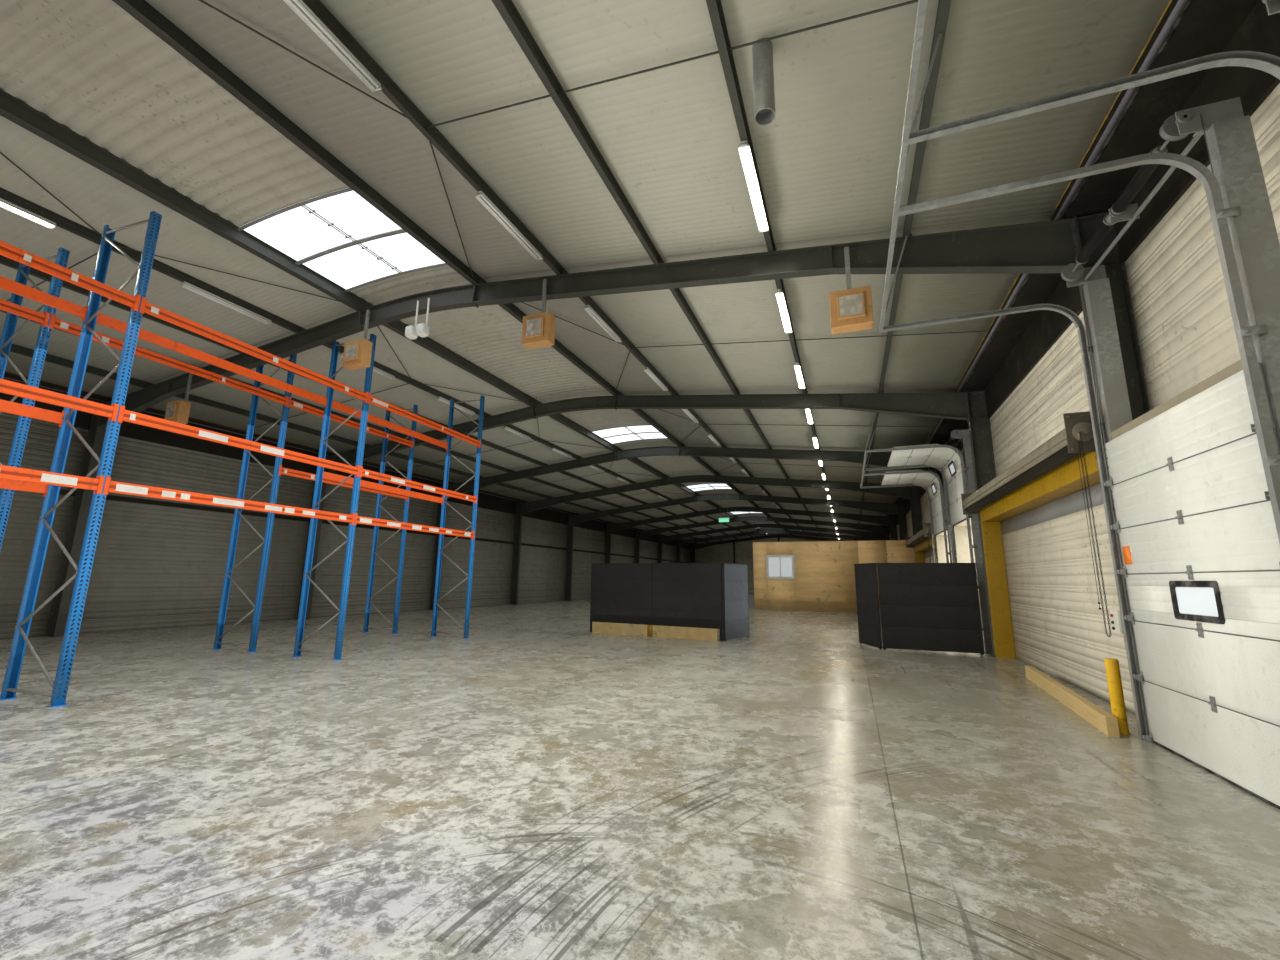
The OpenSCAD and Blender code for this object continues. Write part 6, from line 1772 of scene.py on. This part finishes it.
# Each lamp's name, centre, size, power, direction and tint, and its spread where it is narrow
LAMPS = [
    ("bounce_near", (0.2, -12.5, 0.35), (4.6, 7.5), 16, UP, WARM),
    ("bounce_centre", (1.7, -10.0, 0.35), (2.8, 9.0), 44, UP, WARM),
    ("bounce_right", (3.6, -12.4, 0.35), (2.4, 7.8), 22, UP, WARM),
    ("bounce_left", (-3.5, -12.4, 0.35), (2.8, 7.8), 26, UP, WARM),
    ("bounce_mid", (-0.6, -2.5, 0.35), (8.4, 9.0), 26, UP, WARM),
    ("bounce_far", (-0.6, 9.0, 0.35), (8.4, 10.0), 28, UP, WARM),
    ("down_near", (0.6, -12.4, 2.45), (7.6, 8.6), 150, DOWN, PLAIN),
    ("down_left", (1.3, -12.1, 1.2), (2.6, 4.8), 40, DOWN, PLAIN),
    ("down_mid", (0.0, -3.0, 2.3), (8.6, 9.0), 95, DOWN, PLAIN),
    ("down_far", (0.0, 8.5, 2.3), (8.6, 12.0), 90, DOWN, PLAIN),
    ("fill_right", (1.4, -11.4, 1.2), (1.0, 5.6), 76, (1, 0, 0.16), WARM, 145),
    ("fill_left", (1.0, -11.5, 0.9), (1.0, 6.0), 26, (-1, 0, 0.7), PLAIN),
    ("behind", (0.6, -16.9, 1.5), (8.0, 2.2), 60, (0, 1, 0.05), PLAIN),
]


def make_ground():
    """Plain pale floor round the hall, with faint patches."""
    shape = boxes([(-60, 60, -70, 70, -0.02, 0)])
    mesh = bpy.data.meshes.new("ground")
    mesh.from_pydata(shape[0].tolist(), [], shape[1][0].tolist())
    made, tree, shader = start_material("ground_paint", shade(226, 226, 224), 0.8)
    tone = mix(tree, effect(tree, "patches", scale=0.4, threshold=0.5, softness=0.3), shade(228, 228, 226),
               shade(222, 222, 220))
    tree.links.new(tone, shader.inputs["Base Color"])
    mesh.materials.append(made)
    add_object("ground", mesh)


def make_stage():
    """Ground, sky, soft sun, lamps for the light inside and daylight at the raised doors."""
    make_ground()
    make_world()
    sun = bpy.data.lights.new("sun", "SUN")
    sun.energy = 1.6
    sun.angle = 0.35
    add_object("sun", sun).rotation_euler = [math.radians(v) for v in (38, -24, -30)]
    for row in LAMPS:
        area_lamp(*row)
    for d in DOOR_AT:
        at = (OUTER_X - 0.004, FRAMES[3] + d, SLAB + 0.74)
        area_lamp("daylight", at, (1.42, 1.04), 34, (-1, 0, 0), PLAIN)


class HALL_OT_floor(Operator):
    """Give the slab its worn concrete"""

    bl_idname = "hall.floor"
    bl_label = "Floor"

    def execute(self, context):
        dress("worn_concrete", "floor_slab")
        return {"FINISHED"}


class HALL_OT_walls(Operator):
    """Add the grooved wall sheets"""

    bl_idname = "hall.walls"
    bl_label = "Walls"

    def execute(self, context):
        make_walls()
        return {"FINISHED"}


class HALL_OT_roof(Operator):
    """Add the ribbed ceiling, the crown sheets and the rooflights"""

    bl_idname = "hall.roof"
    bl_label = "Roof"

    def execute(self, context):
        make_roof()
        make_crown()
        return {"FINISHED"}


class HALL_OT_steel(Operator):
    """Paint the steel frame and add its bolts, cleats and sealant"""

    bl_idname = "hall.steel"
    bl_label = "Steel frame"

    def execute(self, context):
        make_steel()
        return {"FINISHED"}


class HALL_OT_doors(Operator):
    """Add the sectional doors with their hinges, rollers, seals, windows and track fittings"""

    bl_idname = "hall.doors"
    bl_label = "Dock doors"

    def execute(self, context):
        make_doors()
        return {"FINISHED"}


class HALL_OT_springs(Operator):
    """Add the torsion springs with their shafts, drums and plates"""

    bl_idname = "hall.springs"
    bl_label = "Springs"

    def execute(self, context):
        make_springs()
        return {"FINISHED"}


class HALL_OT_shutters(Operator):
    """Add the roller boxes, hand chains and infill sheets"""

    bl_idname = "hall.shutters"
    bl_label = "Roller shutters"

    def execute(self, context):
        make_shutters()
        return {"FINISHED"}


class HALL_OT_room(Operator):
    """Add the boarded room's plywood and window trim"""

    bl_idname = "hall.room"
    bl_label = "Boarded room"

    def execute(self, context):
        make_room()
        return {"FINISHED"}


class HALL_OT_racks(Operator):
    """Add the racks' perforations as patches of painted shade, and their bolts, beams and labels"""

    bl_idname = "hall.racks"
    bl_label = "Pallet racks"

    def execute(self, context):
        make_racks()
        return {"FINISHED"}


class HALL_OT_screens(Operator):
    """Add the dark screens"""

    bl_idname = "hall.screens"
    bl_label = "Dark screens"

    def execute(self, context):
        make_screens()
        return {"FINISHED"}


class HALL_OT_lamps(Operator):
    """Add the strip lights"""

    bl_idname = "hall.lamps"
    bl_label = "Strip lights"

    def execute(self, context):
        make_lamps()
        return {"FINISHED"}


class HALL_OT_heaters(Operator):
    """Add the heaters and the twin lamp"""

    bl_idname = "hall.heaters"
    bl_label = "Heaters"

    def execute(self, context):
        make_heaters()
        return {"FINISHED"}


class HALL_OT_fittings(Operator):
    """Add the guard post, the control box and the kerb's finish"""

    bl_idname = "hall.fittings"
    bl_label = "Fittings"

    def execute(self, context):
        make_fittings()
        return {"FINISHED"}


class HALL_OT_stage(Operator):
    """Add the camera, the lamps, the ground and the sky"""

    bl_idname = "hall.stage"
    bl_label = "Stage"

    def execute(self, context):
        place_camera()
        make_stage()
        return {"FINISHED"}


STEPS = (HALL_OT_floor, HALL_OT_walls, HALL_OT_roof, HALL_OT_steel, HALL_OT_doors, HALL_OT_springs,
         HALL_OT_shutters, HALL_OT_room, HALL_OT_racks, HALL_OT_screens, HALL_OT_lamps, HALL_OT_heaters,
         HALL_OT_fittings, HALL_OT_stage)


class HALL_PT_panel(Panel):
    """Lists the hall's pieces and settings"""

    bl_idname = "HALL_PT_panel"
    bl_label = "Factory hall"
    bl_space_type = "VIEW_3D"
    bl_region_type = "UI"
    bl_category = "Hall"

    def draw(self, context):
        for step in STEPS:
            self.layout.operator(step.bl_idname)
        for settings in (context.scene.hall_sizes, context.scene.hall_colours):
            box = self.layout.box()
            for key in type(settings).__annotations__:
                box.prop(settings, key)


CLASSES = (HallSizes, HallColours, *STEPS, HALL_PT_panel)


def register():
    """Registers the classes and hangs the settings on the scene."""
    for item in CLASSES:
        bpy.utils.register_class(item)
    bpy.types.Scene.hall_sizes = PointerProperty(type=HallSizes)
    bpy.types.Scene.hall_colours = PointerProperty(type=HallColours)


def unregister():
    """Takes the settings and the classes away again."""
    del bpy.types.Scene.hall_colours
    del bpy.types.Scene.hall_sizes
    for item in reversed(CLASSES):
        bpy.utils.unregister_class(item)


def main():
    """Builds the hall and its stage."""
    register()
    bpy.context.scene.view_settings.view_transform = "Standard"
    # Few light bounces, so that a full render stays short: the lamps stand in for the rest
    light_paths = bpy.context.scene.cycles
    light_paths.max_bounces = 4
    light_paths.diffuse_bounces = 2
    light_paths.glossy_bounces = 2
    for step in STEPS:
        area, name = step.bl_idname.split(".")
        getattr(getattr(bpy.ops, area), name)()


if __name__ == "__main__":
    main()
